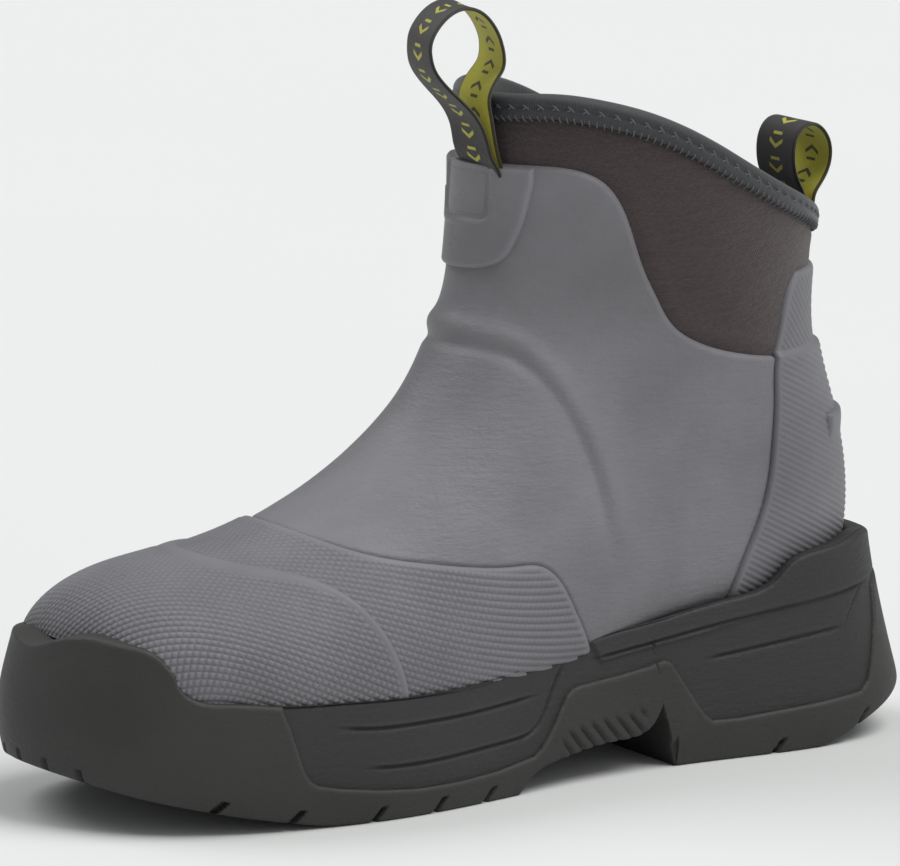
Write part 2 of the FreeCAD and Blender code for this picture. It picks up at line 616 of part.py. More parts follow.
def stitch_row(depth, label):
    """A row of thread that runs round the binding, depth below the collar's edge."""
    base = binding_out + GAP / 2
    return collar_ring(base + thread / 2, base, depth, depth + thread, label)


stitch_row_upper = stitch_row(STITCH_DEPTHS[0], "stitch_row_upper")
stitch_row_lower = stitch_row(STITCH_DEPTHS[1], "stitch_row_lower")

# ---------------------------------------------------------------- pull loops


def webbing_band(line, label, middle_y):
    """Webbing bent along a side-view line, webbing_width wide about the plane y = middle_y."""
    edge = spline(side(line))
    rims = [], []
    for point, ahead in tangents(edge, WEBBING_POINTS):
        normal = V(-ahead.z, 0, ahead.x) * (web / 2)
        rims[0].append(point + normal)
        rims[1].append(point - normal)
    rims[1].reverse()
    edges = [spline(rims[0])] + polyline([rims[0][-1], rims[1][0]]) + [spline(rims[1])]
    edges += polyline([rims[1][-1], rims[0][0]])
    band = slab(edges, label, "dimensions.webbing_width / 2")
    band.Placement.Base = V(0, middle_y, 0)
    return band


front_pull_loop = webbing_band(FRONT_LOOP, "front_pull_loop", FRONT_LOOP_Y)
rear_pull_loop = webbing_band(REAR_LOOP, "rear_pull_loop", 0.0)
tack_zone = box("tack_zone", HEEL_FROM, -TACK_HALF, REAR_TOP - TACK_DROP, HEEL_RUN, 2 * TACK_HALF, TACK_HEIGHT)
tack_out = binding_out + GAP / 2
rear_bartack = common(skin(tack_out + thread / 2, tack_out), tack_zone, "rear_bartack")

# ---------------------------------------------------------------- sole unit
profile_edges = [spline(side(SOLE_TOP))] + polyline(side([SOLE_TOP[-1], FORE_UNDER[0]])) + [spline(side(FORE_UNDER))]
profile_edges += polyline(side([FORE_UNDER[-1], ARCH_UNDER[0]])) + [spline(side(ARCH_UNDER))]
profile_edges += polyline(side([ARCH_UNDER[-1], HEEL_UNDER[0], HEEL_UNDER[1]])) + [spline(side(HEEL_UNDER[1:]))]
profile_edges += polyline(side([HEEL_UNDER[-1], SOLE_TOP[0]]))
profile = slab(profile_edges, "profile")
sole_full = sole_volume(0.0, "sole_full")
unit = common(sole_full, profile, "unit")
cup = cut(unit, last(GAP), "cup")
above_tuck_zone = over(SOLE_TOP, "above_tuck_zone", -TUCK_DEPTH)
tuck = common(last(GAP + dim("toe_cap_wall") + GAP), above_tuck_zone, "tuck")
cup_tucked = cut(cup, tuck, "cup_tucked")

window_zone = slab(polyline(side(WINDOW + WINDOW[:1])), "window_zone")
core_zone = slab(polyline(side(CORE + CORE[:1])), "core_zone")
core_plan = feature(Part.Face(outline_wire(CORE_FOOT, 0, 0, 0, CORE_INSET)).extrude(V(0, 0, FAR)), "core_plan")
core_block = common(core_plan, core_zone, "core_block")
midsole_sides = common(cup_tucked, window_zone, "midsole_sides")
outsole_windowed = cut(cup_tucked, window_zone, "outsole_windowed")
midsole_core = common(outsole_windowed, core_block, "midsole_core")
midsole_raw = fuse([midsole_sides, midsole_core], "midsole_raw")
outsole_raw = cut(outsole_windowed, core_block, "outsole_raw")

# Decorative grooves round the midsole's side.
groove_band = cut(sole_full, sole_volume(dim("groove_depth"), "groove_floor"), "groove_band")
groove_strips = fuse([ribbon(line, GROOVE_WIDTH, f"groove_strip_{i}") for i, line in enumerate(GROOVES)],
                     "groove_strips")
grooves = common(groove_band, groove_strips, "grooves")

# ---------------------------------------------------------------- shank, in a pocket of the midsole


def plate(label, length_name, width_name, wall_name, place):
    """A round-ended plate: a PartDesign body with one sketch and one pad, all sizes from the sheet."""
    body = doc.addObject("PartDesign::Body", label)
    body.Label = label
    sketch = body.newObject("Sketcher::SketchObject", label + "_sketch")
    plane = next(o for o in body.Origin.OriginFeatures if o.Role == "XY_Plane")
    sketch.AttachmentSupport = (plane, [""])
    sketch.MapMode = "FlatFace"
    width, length = dim(width_name), dim(length_name)
    reach = (length - width) / 2
    up, down = V(0, width / 2, 0), V(0, -width / 2, 0)
    right, left = V(reach, 0, 0), V(-reach, 0, 0)
    sketch.addGeometry(Part.LineSegment(left + up, right + up), False)
    sketch.addGeometry(Part.ArcOfCircle(Part.Circle(right, V(0, 0, 1), width / 2), -math.pi / 2, math.pi / 2), False)
    sketch.addGeometry(Part.LineSegment(right + down, left + down), False)
    sketch.addGeometry(Part.ArcOfCircle(Part.Circle(left, V(0, 0, 1), width / 2), math.pi / 2, 3 * math.pi / 2), False)
    pad = body.newObject("PartDesign::Pad", label + "_pad")
    pad.Profile = sketch
    pad.setExpression("Length", "dimensions." + wall_name)
    body.Placement = place
    return body


shank_tilt = FreeCAD.Rotation(V(0, 1, 0), SHANK_TILT)
shank = plate("shank", "shank_length", "shank_width", "shank_wall", FreeCAD.Placement(at(*SHANK_AT), shank_tilt))
shank_pocket = doc.addObject("Part::Box", "shank_pocket")
shank_pocket.Label = "shank_pocket"
shank_pocket.setExpression("Length", "dimensions.shank_length + 4 * dimensions.bond_gap")
shank_pocket.setExpression("Width", "dimensions.shank_width + 4 * dimensions.bond_gap")
shank_pocket.setExpression("Height", "dimensions.shank_wall + 2 * dimensions.bond_gap")
pocket_corner = V(-dim("shank_length") / 2 - 2 * GAP, -dim("shank_width") / 2 - 2 * GAP, -GAP)
shank_pocket.Placement = FreeCAD.Placement(at(*SHANK_AT) + shank_tilt.multVec(pocket_corner), shank_tilt)
midsole_tools = fuse([grooves, shank_pocket], "midsole_tools")
midsole = cut(midsole_raw, midsole_tools, "midsole")

# ---------------------------------------------------------------- tread
tread_cuts = []
for end, spots in (("fore", TREAD_FORE), ("heel", TREAD_HEEL)):
    for i, (x, lift) in enumerate(spots):
        for side_name, sign, turn in (("lateral", 1, TREAD_SLANT), ("medial", -1, 180 - TREAD_SLANT)):
            notch = doc.addObject("Part::Box", f"sipe_{end}_{i}_{side_name}")
            notch.Length, notch.Width = TREAD_WIDTH, FAR
            notch.setExpression("Height", "2 * dimensions.tread_depth")
            start = at(x - sign * TREAD_WIDTH / 2, sign * TREAD_SPINE, lift - dim("tread_depth"))
            notch.Placement = FreeCAD.Placement(start, FreeCAD.Rotation(V(0, 0, 1), turn))
            tread_cuts.append(notch)

inserts = []
insert_pockets = []
for i, (x, y) in enumerate(TREAD_INSERTS, start=1):
    pad = doc.addObject("Part::Cylinder", f"tread_insert_{i}")
    pad.Label = f"tread_insert_{i}"
    pad.setExpression("Radius", "dimensions.insert_radius")
    pad.setExpression("Height", "dimensions.tread_depth")
    pad.Placement.Base = at(x, y, INSERT_SINK)
    inserts.append(pad)
    hole = doc.addObject("Part::Cylinder", f"insert_hole_{i}")
    hole.Label = f"insert_hole_{i}"
    hole.setExpression("Radius", "dimensions.insert_radius + dimensions.bond_gap")
    hole.setExpression("Height", "2 * (dimensions.tread_depth + dimensions.bond_gap)")
    hole.Placement.Base = at(x, y, INSERT_SINK - dim("tread_depth") - GAP)
    insert_pockets.append(hole)
outsole_tools = fuse(tread_cuts + insert_pockets, "outsole_tools")
outsole = cut(outsole_raw, outsole_tools, "outsole")

# ---------------------------------------------------------------- inside: board, footbed and heel cushion
board_out = lining_in - GAP
board_in = board_out - dim("board_wall")
foam_out = board_in - GAP
below_board = under(BOARD_LINE, "below_board")
insole_board = common(skin(board_out, board_in), below_board, "insole_board")
below_foam = under(FOAM_LINE, "below_foam")
below_cover = under(FOAM_LINE, "below_cover", GAP + dim("footbed_cover_wall"))
above_foam = cut(below_cover, under(FOAM_LINE, "foam_gap", GAP), "above_foam")
foam_raw = common(last(foam_out), below_foam, "foam_raw")
footbed_cover = common(last(foam_out), above_foam, "footbed_cover")
cushion_tilt = FreeCAD.Rotation(V(0, 1, 0), CUSHION_TILT)


def cushion(label, growth):
    """The round gel pad under the heel, or its pocket when grown."""
    made = doc.addObject("Part::Cylinder", label)
    made.Label = label
    made.setExpression("Radius", f"dimensions.heel_pad_radius + {growth}")
    made.setExpression("Height", f"dimensions.heel_pad_wall + 2 * {growth}")
    made.Placement = FreeCAD.Placement(at(*CUSHION_AT) + cushion_tilt.multVec(V(0, 0, -growth)), cushion_tilt)
    return made


heel_cushion = common(cushion("cushion_disc", 0.0), last(foam_out - GAP), "heel_cushion")
footbed_foam = cut(foam_raw, cushion("cushion_pocket", GAP), "footbed_foam")

# ---------------------------------------------------------------- recompute, check, export
doc.recompute()
NODES = [
    outsole, midsole, shank, insole_board, footbed_foam, footbed_cover, heel_cushion, rubber_shell,
    neoprene_bootie, lining, toe_puff, heel_counter, toe_cap, vamp_overlay, heel_overlay, kick_rib,
    front_patch, front_badge, collar_binding, stitch_row_upper, stitch_row_lower, front_pull_loop,
    front_loop_tails, rear_pull_loop, rear_tail_outer, rear_tail_inner, rear_bartack, *inserts,
]
for item in doc.Objects:
    faults = {"Invalid", "Error"} & set(item.State)
    if faults:
        raise RuntimeError(f"{item.Label}: {faults}")
for node in NODES:
    if node.Shape.isNull() or not node.Shape.isValid():
        raise RuntimeError(f"{node.Label}: no valid shape")

os.makedirs("parts", exist_ok=True)
for node in NODES:
    node.Shape.exportStep(f"parts/{node.Label}.step")
    print(f"{node.Label}: {len(node.Shape.Solids)} solid(s), {node.Shape.Volume:.1f} mm3")
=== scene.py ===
import bpy
import itertools
import math
import numpy as np
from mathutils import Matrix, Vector
from mathutils.bvhtree import BVHTree


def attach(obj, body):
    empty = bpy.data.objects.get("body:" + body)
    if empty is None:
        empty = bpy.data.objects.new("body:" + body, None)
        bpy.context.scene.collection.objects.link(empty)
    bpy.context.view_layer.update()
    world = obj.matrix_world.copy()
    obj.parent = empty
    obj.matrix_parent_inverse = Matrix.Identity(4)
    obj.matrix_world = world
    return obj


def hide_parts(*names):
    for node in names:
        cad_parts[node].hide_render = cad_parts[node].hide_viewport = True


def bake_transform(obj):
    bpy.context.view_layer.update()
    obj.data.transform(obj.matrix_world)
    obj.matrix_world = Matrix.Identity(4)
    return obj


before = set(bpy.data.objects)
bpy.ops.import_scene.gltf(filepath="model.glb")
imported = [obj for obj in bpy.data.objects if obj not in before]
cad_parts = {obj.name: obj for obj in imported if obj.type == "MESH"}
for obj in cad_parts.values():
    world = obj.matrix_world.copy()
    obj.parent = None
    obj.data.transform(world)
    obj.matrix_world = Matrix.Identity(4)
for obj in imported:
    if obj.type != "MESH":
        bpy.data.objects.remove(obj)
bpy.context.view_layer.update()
MM = 0.001
HEEL_DATUM = 52.0

# ---- the boot's lines, in boot millimetres
# Each row: ridge x, ridge z, keel x, keel z, lateral and medial half width, height share of the widest line,
# squareness of the lower and upper halves, y of the middle.
STATIONS = np.array([
    (292, 42, 284, 27, 26, 27, .45, 2.6, 2.2, -6),
    (289.8, 56.5, 271, 26, 41, 41, .40, 2.8, 2.4, -5),
    (278.7, 69.2, 255, 25, 48, 46, .38, 3.0, 2.3, -3),
    (254.1, 76.4, 234, 24, 52, 49, .36, 3.0, 2.1, -1),
    (222.8, 84.5, 203, 24, 53, 49, .34, 3.0, 2.0, 0),
    (193.3, 101.1, 170, 25, 49, 46, .32, 3.0, 1.9, 1),
    (169.1, 124.3, 130, 29, 44, 42, .32, 2.8, 1.9, 1),
    (158.5, 144.7, 82, 34, 41, 40, .34, 2.4, 2.0, 0),
    (155.6, 158.4, 26, 44, 38, 38, .36, 2.2, 2.0, 0),
    (153.7, 171.2, 16.7, 86, 39, 39, .42, 2.1, 2.0, 0),
    (151.5, 187, 27.3, 126, 43, 43, .45, 2.0, 2.0, 0),
    (149.8, 211, 26.9, 164, 48, 48, .48, 2.0, 2.0, 0),
    (148.8, 230, 26.9, 192, 49, 49, .48, 2.0, 2.0, 0)], float)
SOLE_OUTLINE = np.array([
    (0, 0), (5, 22), (22, 38), (50, 43), (90, 41), (130, 43), (170, 51), (205, 57), (240, 56), (268, 49),
    (289, 36), (303, 15), (308, -8), (302, -28), (288, -44), (262, -54), (232, -57), (200, -53), (165, -44),
    (125, -38), (85, -39), (50, -42), (22, -38), (5, -22)
], float)
SOLE_LEVELS = np.array([
    (0, 4, 9, 3), (12, -3, 3, .6), (22, -1.5, 0, 0), (38, 3, 0, .3), (56, 7, 5, 1.5), (76, 10, 9, 2.5)
], float)
SOLE_LENGTH = 308.0
SOLE_HALF_WIDTH = 57.0
TOP_LINE = [
    (-20, 165), (10, 166), (29, 169.2), (39, 173.6), (57, 181.4), (76, 191), (95, 201.3), (112, 208.5),
    (126, 212.3), (138, 213.9), (147, 213.4), (175, 212)
]
SHELL_LINE = [
    (-20, 127), (60, 127.3), (77, 130), (89, 134), (98, 140), (104, 149), (109, 158), (114, 170),
    (118.5, 180), (124, 187), (132, 191), (142, 192), (175, 192)
]
CAP_EDGE = [
    (256, 79.5), (250, 77.6), (237, 75.4), (226, 72.4), (218, 67), (212, 59), (207, 48), (204, 38), (202, 20)
]
VAMP_EDGE = [
    (232, 88), (226, 86), (215, 81.3), (205, 78.2), (193, 76), (177, 73.5), (160, 72), (151, 71), (145.5, 67),
    (139, 56), (132, 44), (122, 28)
]
HEEL_EDGE = [
    (47.6, 154), (51.2, 150.6), (53.6, 147.4), (55, 144.2), (56.4, 139), (58, 133.5), (60.2, 127.5),
    (60.3, 113.7), (60.7, 100.9), (62.1, 88.2), (65.3, 77.3), (68.6, 70), (72.6, 61), (75.6, 51), (79, 38)
]
GUARD_TOP = 152.6
SOLE_TOP = [
    (-20, 62), (5, 63.6), (14, 65.2), (23, 66.4), (31, 65.3), (41, 64.2), (49, 63.4), (55.5, 61.2),
    (61, 56.6), (66, 53.9), (75, 52.1), (90, 50.1), (104.6, 47.8), (120, 46.2), (132, 44.6), (148.5, 41.3),
    (161, 39.5), (178, 38.1), (194, 37.7), (210, 38), (230.5, 38.9), (250, 39.8), (265, 41.4), (274, 42.8),
    (277.6, 45.9), (280, 52), (283, 56.2), (287.5, 58.2), (294, 59.7), (300, 60.6), (308, 57), (330, 54)
]
FORE_UNDER = [
    (220, 0), (232, 0.5), (244, 2.4), (257.9, 5), (272.3, 8.1), (282.8, 10.6), (291.9, 13.1), (299.6, 15.8),
    (307.2, 18.5), (314, 22), (330, 30)
]
ARCH_UNDER = [
    (103.2, 21), (104.9, 17.5), (107.6, 14), (112.5, 11.8), (120, 11.4), (132, 10.6), (144, 8.9), (152, 7.2),
    (156.4, 4.6), (160, 0)
]
HEEL_UNDER = [(-20, 27), (-6, 19.5), (13, 10.8), (21, 7.9), (29, 4.8), (36, 2), (44, 0), (97.4, 0)]
WINDOW = [
    (249, 95), (248.5, 38), (246.4, 32.6), (243.9, 24.7), (241.9, 19.2), (239.8, 15.8), (237.1, 14),
    (230.4, 12.5), (216.5, 10.4), (201.8, 9), (186.1, 8.8), (169.6, 9.6), (161.3, 10.8), (155, 11.7),
    (152.6, 13.5), (149.8, 16.6), (146.9, 20.6), (144.4, 24.6), (141.8, 28.7), (139.3, 30.5), (136.4, 31.2),
    (120.3, 32.3), (108.7, 33.7), (103, 35), (100.4, 34.3), (97.5, 30.1), (93.7, 24.6), (90, 19.3),
    (86.9, 15.4), (84.3, 13.5), (75, 13.3), (60.7, 14.2), (45.6, 15.1), (28.2, 16.5), (24.9, 19.5), (22, 27),
    (18.8, 37), (17, 48), (10, 52), (-20, 54), (-20, 95)
]
GROOVES = [
    [(230, 31.1), (217, 29.6), (202, 29.2), (186.5, 29.1), (170, 29.6), (153, 30.6)],
    [(220.4, 17.6), (209.7, 16.9), (198.4, 16.7), (178.4, 17.4), (163, 18.1), (155.3, 19.6), (151.1, 23.4),
     (146.8, 31), (143.7, 36.2), (141.5, 40.3)],
    [(130, 38.7), (112.4, 40.3), (97.3, 42.2), (75.5, 45.2), (60.9, 46.8), (45.5, 48.3), (21.4, 50.7)],
    [(87.2, 33.5), (75.6, 34.6), (61, 36.1), (45.8, 37.5), (34.5, 38.4)],
    [(34.2, 38.6), (30.9, 42.4), (28.5, 45.6), (25, 49.8)],
]
RIB_LINE = [
    (171, 141.6), (164, 142), (157.3, 141.1), (150.4, 139.4), (145, 136.7), (139.9, 132.5), (135.3, 127.1),
    (131.8, 121.3), (128.4, 114.3), (125.5, 106.6), (123.1, 98.5), (121.3, 90), (119.8, 81), (118.8, 72),
    (118.2, 60)
]
PATCH_HALF = [
    (23.8, 191.5), (23.6, 187), (22.4, 181.6), (20.9, 175.2), (18.6, 168.2), (16.7, 163.5), (14.3, 160.8),
    (9.9, 159.2), (4, 158.8)
]
FRONT_LOOP = [
    (147.2, 183), (148.0, 188), (149.4, 191.4), (151.0, 194.2), (152.2, 198), (153.8, 203.5), (157.8, 209.5),
    (162.8, 214.2), (167.3, 218.6), (170.3, 223), (171.3, 227.5), (170.8, 232), (168.3, 236), (164.3, 239.4),
    (158.8, 241.2), (152.8, 239.6), (148.8, 236), (145.8, 231), (144.6, 226), (145.2, 221.9), (147.2, 219.2),
    (149.5, 216.2), (151, 212.6), (150.9, 208), (150.2, 200), (148.9, 193.6), (147.6, 190), (146, 183)
]
REAR_LOOP = [
    (29.6, 162), (29.5, 168), (29.4, 170.8), (28.7, 173.2), (26.7, 176), (24.2, 179.6), (22.7, 184),
    (22.9, 188.6), (25.2, 192.9), (29.2, 195.4), (33.2, 194.6), (35.9, 191), (36.7, 186), (36.2, 181),
    (34.4, 176.2), (32.9, 172.4), (32.8, 168), (32.8, 162)
]
WEBBING_WIDTH = 22.0
WEBBING_WALL = 1.1
KNURL_PITCH = 2.5
KICK_HALF_WIDTH = 30
KICK_BOTTOM, KICK_TOP = 94, 105.3
TAB_BREAK = 128
BACK_BEHIND, FRONT_AHEAD = 60, 120
# The tread: places of its cross channels along x, shallow sipes between them, edge notches across the toe, inserts.
TREAD_FORE = [269, 245, 217.5, 195, 175]
TREAD_HEEL = [61.5, 29]
TREAD_SIPES = [207.5, 184.5, 231]
TOE_NOTCHES = [-30, -17, -5, 7, 19]
TREAD_INSERTS = [(84, 0), (182, 2), (208, 2), (232, 0)]
CHANNEL_DEPTH, SIPE_DEPTH, INSERT_DEPTH = 4.0, 1.2, 0.9
GROOVE_DEPTH = 1.15

# ---- curves and fields


def spline_fit(knots, values):
    """Second derivatives of the natural cubic spline through values at knots."""
    count = len(knots)
    step = np.diff(knots)
    system = np.eye(count)
    flat = values.reshape(count, -1)
    right = np.zeros(flat.shape)
    for i in range(1, count - 1):
        system[i, i - 1:i + 2] = step[i - 1], 2 * (step[i - 1] + step[i]), step[i]
        right[i] = 6 * ((flat[i + 1] - flat[i]) / step[i] - (flat[i] - flat[i - 1]) / step[i - 1])
    return np.linalg.solve(system, right)


def spline(knots, values, at):
    """The natural cubic spline through values at knots, read at the places at."""
    knots, values, at = np.asarray(knots, float), np.asarray(values, float), np.asarray(at, float)
    bend = spline_fit(knots, values)
    flat = values.reshape(len(knots), -1)
    i = np.clip(np.searchsorted(knots, at, side="right") - 1, 0, len(knots) - 2)
    step = (knots[i + 1] - knots[i])[:, None]
    right = ((at - knots[i])[:, None]) / step
    left = 1 - right
    out = left * flat[i] + right * flat[i + 1]
    out += ((left ** 3 - left) * bend[i] + (right ** 3 - right) * bend[i + 1]) * step ** 2 / 6
    return out.reshape((len(at),) + values.shape[1:])


def plane_run(points):
    """Run length from the first of a row of 2-D points to each of them."""
    return np.concatenate([[0], np.cumsum(np.hypot(*np.diff(points, axis=0).T))])


def space_run(points):
    """Run length from the first of a row of 3-D points to each of them."""
    return np.concatenate([[0], np.cumsum(np.linalg.norm(np.diff(points, axis=0), axis=1))])


def curve(points, per=7):
    """A smooth dense polyline through points."""
    points = np.asarray(points, float)
    knots = plane_run(points)
    at = np.concatenate([np.linspace(a, b, per, endpoint=False) for a, b in zip(knots, knots[1:])] + [[knots[-1]]])
    return spline(knots, points, at)


def closed_curve(points, count):
    """count points evenly along a smooth closed curve."""
    loop = np.concatenate([points[-4:], points, points[:5]])
    knots = plane_run(loop)
    dense = spline(knots, loop, np.linspace(knots[4], knots[4 + len(points)], 4000))
    run = plane_run(dense)
    at = np.linspace(0, run[-1], count, endpoint=False)
    return np.stack([np.interp(at, run, dense[:, 0]), np.interp(at, run, dense[:, 1])], 1)


def distance(a, b, line, closed=False):
    """Distance of the points (a, b) from a polyline."""
    line = np.asarray(line, float)
    ends = np.roll(line, -1, 0) if closed else line[1:]
    starts = line if closed else line[:-1]
    best = np.full(a.shape, 1e9)
    for (x0, y0), (x1, y1) in zip(starts, ends):
        dx, dy = x1 - x0, y1 - y0
        share = np.clip(((a - x0) * dx + (b - y0) * dy) / (dx * dx + dy * dy + 1e-12), 0, 1)
        best = np.minimum(best, (a - x0 - share * dx) ** 2 + (b - y0 - share * dy) ** 2)
    return np.sqrt(best)


def within(a, b, ring):
    """True where (a, b) is inside a closed polygon."""
    inside = np.zeros(a.shape, bool)
    ring = np.asarray(ring, float)
    for (x0, y0), (x1, y1) in zip(ring, np.roll(ring, -1, 0)):
        if y0 == y1:
            continue
        cross = ((y0 > b) != (y1 > b)) & (a < (x1 - x0) * (b - y0) / (y1 - y0) + x0)
        inside ^= cross
    return inside


def below(x, z, line):
    """Signed distance below a line that runs along x."""
    dense = curve(line)
    level = np.interp(x, dense[:, 0], dense[:, 1])
    return np.where(z < level, 1, -1) * distance(x, z, dense)


def ahead(x, z, line):
    """Signed distance in front of a line that runs down from the ridge."""
    dense = curve(line)[::-1]
    where = np.interp(z, dense[:, 1], dense[:, 0])
    return np.where(x > where, 1, -1) * distance(x, z, dense)


def smooth(x, low, high):
    """0 below low, 1 above high, eased between."""
    t = np.clip((x - low) / (high - low), 0, 1)
    return t * t * (3 - 2 * t)


def round_edge(inside, radius):
    """0 at the edge rising to 1 at radius inside it, along a quarter circle."""
    t = np.clip(inside / radius, 0, 1)
    return np.sqrt(1 - (1 - t) ** 2)


def lumps(p, size, seed, octaves=2):
    """Soft value noise in 3-D, -1 to 1, of the given lump size in millimetres."""
    out = np.zeros(p.shape[:-1])
    rng = np.random.default_rng(seed)
    table = rng.uniform(-1, 1, (16, 16, 16))
    amp, total = 1.0, 0.0
    for _ in range(octaves):
        low = np.floor(p / size).astype(int)
        t = smooth(p / size - low, 0, 1)
        acc = 0
        for corner in itertools.product((0, 1), repeat=3):
            cell = tuple(np.moveaxis((low + corner) % 16, -1, 0))
            weight = np.prod(np.where(corner, t, 1 - t), axis=-1)
            acc = acc + weight * table[cell]
        out += amp * acc
        total += amp
        amp, size = amp / 2, size / 2
    return out / total


def crest(value, middle, spread):
    """A bell of height 1 round middle."""
    return np.exp(-((value - middle) / spread) ** 2)


# ---- the upper's surface
ridge_run = np.hypot(*np.diff(STATIONS[:, 0:2], axis=0).T)
keel_run = np.hypot(*np.diff(STATIONS[:, 2:4], axis=0).T)
T = np.concatenate([[0], np.cumsum((ridge_run + keel_run) / 2)])


def station_ring(row, shares):
    """Points of one section at the given shares of its girth, from the ridge round by the lateral side."""
    rx, rz, kx, kz, lateral, medial, waist, low_n, up_n, mid_y = row
    span = math.hypot(rx - kx, rz - kz)
    angle = math.pi / 2 - np.linspace(0, 2 * math.pi, 2401)
    c, s = np.cos(angle), np.sin(angle)
    power = np.where(s >= 0, up_n, low_n)
    across = np.sign(c) * np.abs(c) ** (2 / power) * np.where(c > 0, lateral, medial) + mid_y
    up = np.sign(s) * np.abs(s) ** (2 / power)
    rise = waist * span + up * np.where(s > 0, (1 - waist) * span, waist * span)
    ux, uz = (rx - kx) / span, (rz - kz) / span
    ring = np.stack([kx + ux * rise, across, kz + uz * rise], 1)
    run = space_run(ring)
    at = np.mod(shares, 1.0) * run[-1]
    return np.stack([np.interp(at, run, ring[:, k]) for k in range(3)], 1)


def surface(us, vs):
    """The upper's skin on a grid: points, outward normals, and run lengths along and around it."""
    rings = np.stack([station_ring(row, vs) for row in STATIONS])
    points = spline(T, rings, us)
    along = np.gradient(points, axis=0)
    around = np.gradient(points, axis=1)
    normal = np.cross(along, around)
    normal /= np.linalg.norm(normal, axis=2, keepdims=True) + 1e-12
    centre = points.mean(axis=1, keepdims=True)
    if ((points - centre) * normal).sum() < 0:
        normal = -normal
    run_u = np.concatenate([np.zeros((1, len(vs))), np.cumsum(np.linalg.norm(np.diff(points, axis=0), axis=2), 0)])
    steps_v = np.linalg.norm(np.diff(points, axis=1), axis=2)
    run_v = np.concatenate([np.zeros((len(us), 1)), np.cumsum(steps_v, 1)], 1)
    run_v = run_v - run_v[:, [int(np.argmin(np.abs(vs)))]]
    return {"p": points, "n": normal, "lu": run_u, "lv": run_v}


def clip(grid, field):
    """Keeps the part of a grid where field > 0, with clean edges: per-vertex data, faces and rim edges."""
    nu, nv = field.shape
    flat = field.ravel()
    inside = flat > 0
    index = np.arange(nu * nv).reshape(nu, nv)
    quads = np.stack([index[:-1, :-1], index[1:, :-1], index[1:, 1:], index[:-1, 1:]], -1).reshape(-1, 4)
    count = inside[quads].sum(1)
    faces = quads[count == 4].tolist()
    made, low, high, share, rims = {}, [], [], [], []
    for quad in quads[(count > 0) & (count < 4)].tolist():
        poly = []
        for i in range(4):
            p, r = quad[i], quad[(i + 1) % 4]
            if inside[p]:
                poly.append(p)
            if inside[p] != inside[r]:
                key = (p, r) if p < r else (r, p)
                if key not in made:
                    made[key] = nu * nv + len(low)
                    low.append(key[0])
                    high.append(key[1])
                    share.append(flat[key[0]] / (flat[key[0]] - flat[key[1]]))
                poly.append(made[key])
        if len(poly) >= 3:
            faces.append(poly)
            cut_ids = [q for q in poly if q >= nu * nv]
            if len(cut_ids) == 2:
                i, j = poly.index(cut_ids[0]), poly.index(cut_ids[1])
                follows = (i + 1) % len(poly) == j
                rims.append((cut_ids[1], cut_ids[0]) if follows else (cut_ids[0], cut_ids[1]))
    share = np.array(share)
    data = {}
    for key, values in list(grid.items()) + [("f", field)]:
        table = values.reshape(nu * nv, -1)
        if low:
            extra = table[low] * (1 - share[:, None]) + table[high] * share[:, None]
            table = np.concatenate([table, extra])
        data[key] = table[:, 0] if table.shape[1] == 1 else table
    data["n"] = data["n"] / (np.linalg.norm(data["n"], axis=1, keepdims=True) + 1e-12)
    return data, faces, rims


def make(name, verts, faces, uv=None, shade=None):
    """A mesh object from boot-millimetre points; unused points are dropped."""
    faces = [list(f) for f in faces]
    used = np.zeros(len(verts), bool)
    for f in faces:
        used[f] = True
    remap = np.cumsum(used) - 1
    verts = np.asarray(verts, float)[used]
    faces = [[int(remap[i]) for i in f] for f in faces]
    mesh = bpy.data.meshes.new(name)
    shifted = (verts - np.array([HEEL_DATUM, 0, 0])) * MM
    mesh.from_pydata(shifted.tolist(), [], faces)
    loops = np.zeros(len(mesh.loops), int)
    mesh.loops.foreach_get("vertex_index", loops)
    if uv is not None:
        layer = mesh.uv_layers.new(name="run")
        layer.data.foreach_set("uv", (np.asarray(uv)[used][loops] * 0.1).ravel())
    # shade holds painted light per vertex: positive values are painted highlights, negative values are painted
    # shade
    if shade is not None:
        attr = mesh.attributes.new("painted_light", "FLOAT", "POINT")
        attr.data.foreach_set("value", np.asarray(shade, float)[used])
    mesh.polygons.foreach_set("use_smooth", np.ones(len(mesh.polygons), bool))
    mesh.validate()
    obj = bpy.data.objects.new(name, mesh)
    bpy.context.scene.collection.objects.link(obj)
    return obj


def place(obj, node, slot, *materials):
    """Puts a finished piece on the boot in place of a CAD node."""
    for material in materials:
        obj.data.materials.append(material)
    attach(obj, "boot")
    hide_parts(node)


def skirt(data, faces, rims, verts, depth):
    """Turns the clipped rim down by depth, so that the piece ends in a wall."""
    lower = {}
    extra = []
    for a, b in rims:
        for i in (a, b):
            if i not in lower:
                lower[i] = len(verts) + len(extra)
                extra.append(verts[i] - data["n"][i] * depth)
    faces = faces + [[a, b, lower[b], lower[a]] for a, b in rims]
    order = list(lower)
    uv = np.stack([data["lv"], data["lu"]], 1)
    uv = np.concatenate([uv, uv[order]]) if order else uv
    verts = np.concatenate([verts, np.array(extra)]) if extra else verts
    return verts, faces, uv


def layer(name, us, vs, field, height, skirt_depth=1.0, shade=None):
    """A piece of the upper: the part of the skin where field(grid) > 0, raised by height(data)."""
    grid = surface(us, vs)
    data, faces, rims = clip(grid, field(grid))
    verts = data["p"] + data["n"] * height(data)[:, None]
    # shade(data) gives the piece's painted highlights and painted shade
    tone = shade(data) if shade else np.zeros(len(verts))
    verts, faces, uv = skirt(data, faces, rims, verts, skirt_depth)
    tone = np.concatenate([tone, np.zeros(len(verts) - len(tone))])
    return make(name, verts, faces, uv, tone)


def rows(low, high, step):
    """Positions along the stations between two station numbers, about step millimetres apart."""
    a, b = np.interp([low, high], np.arange(len(T)), T)
    return np.linspace(a, b, max(2, int(abs(b - a) / step)))


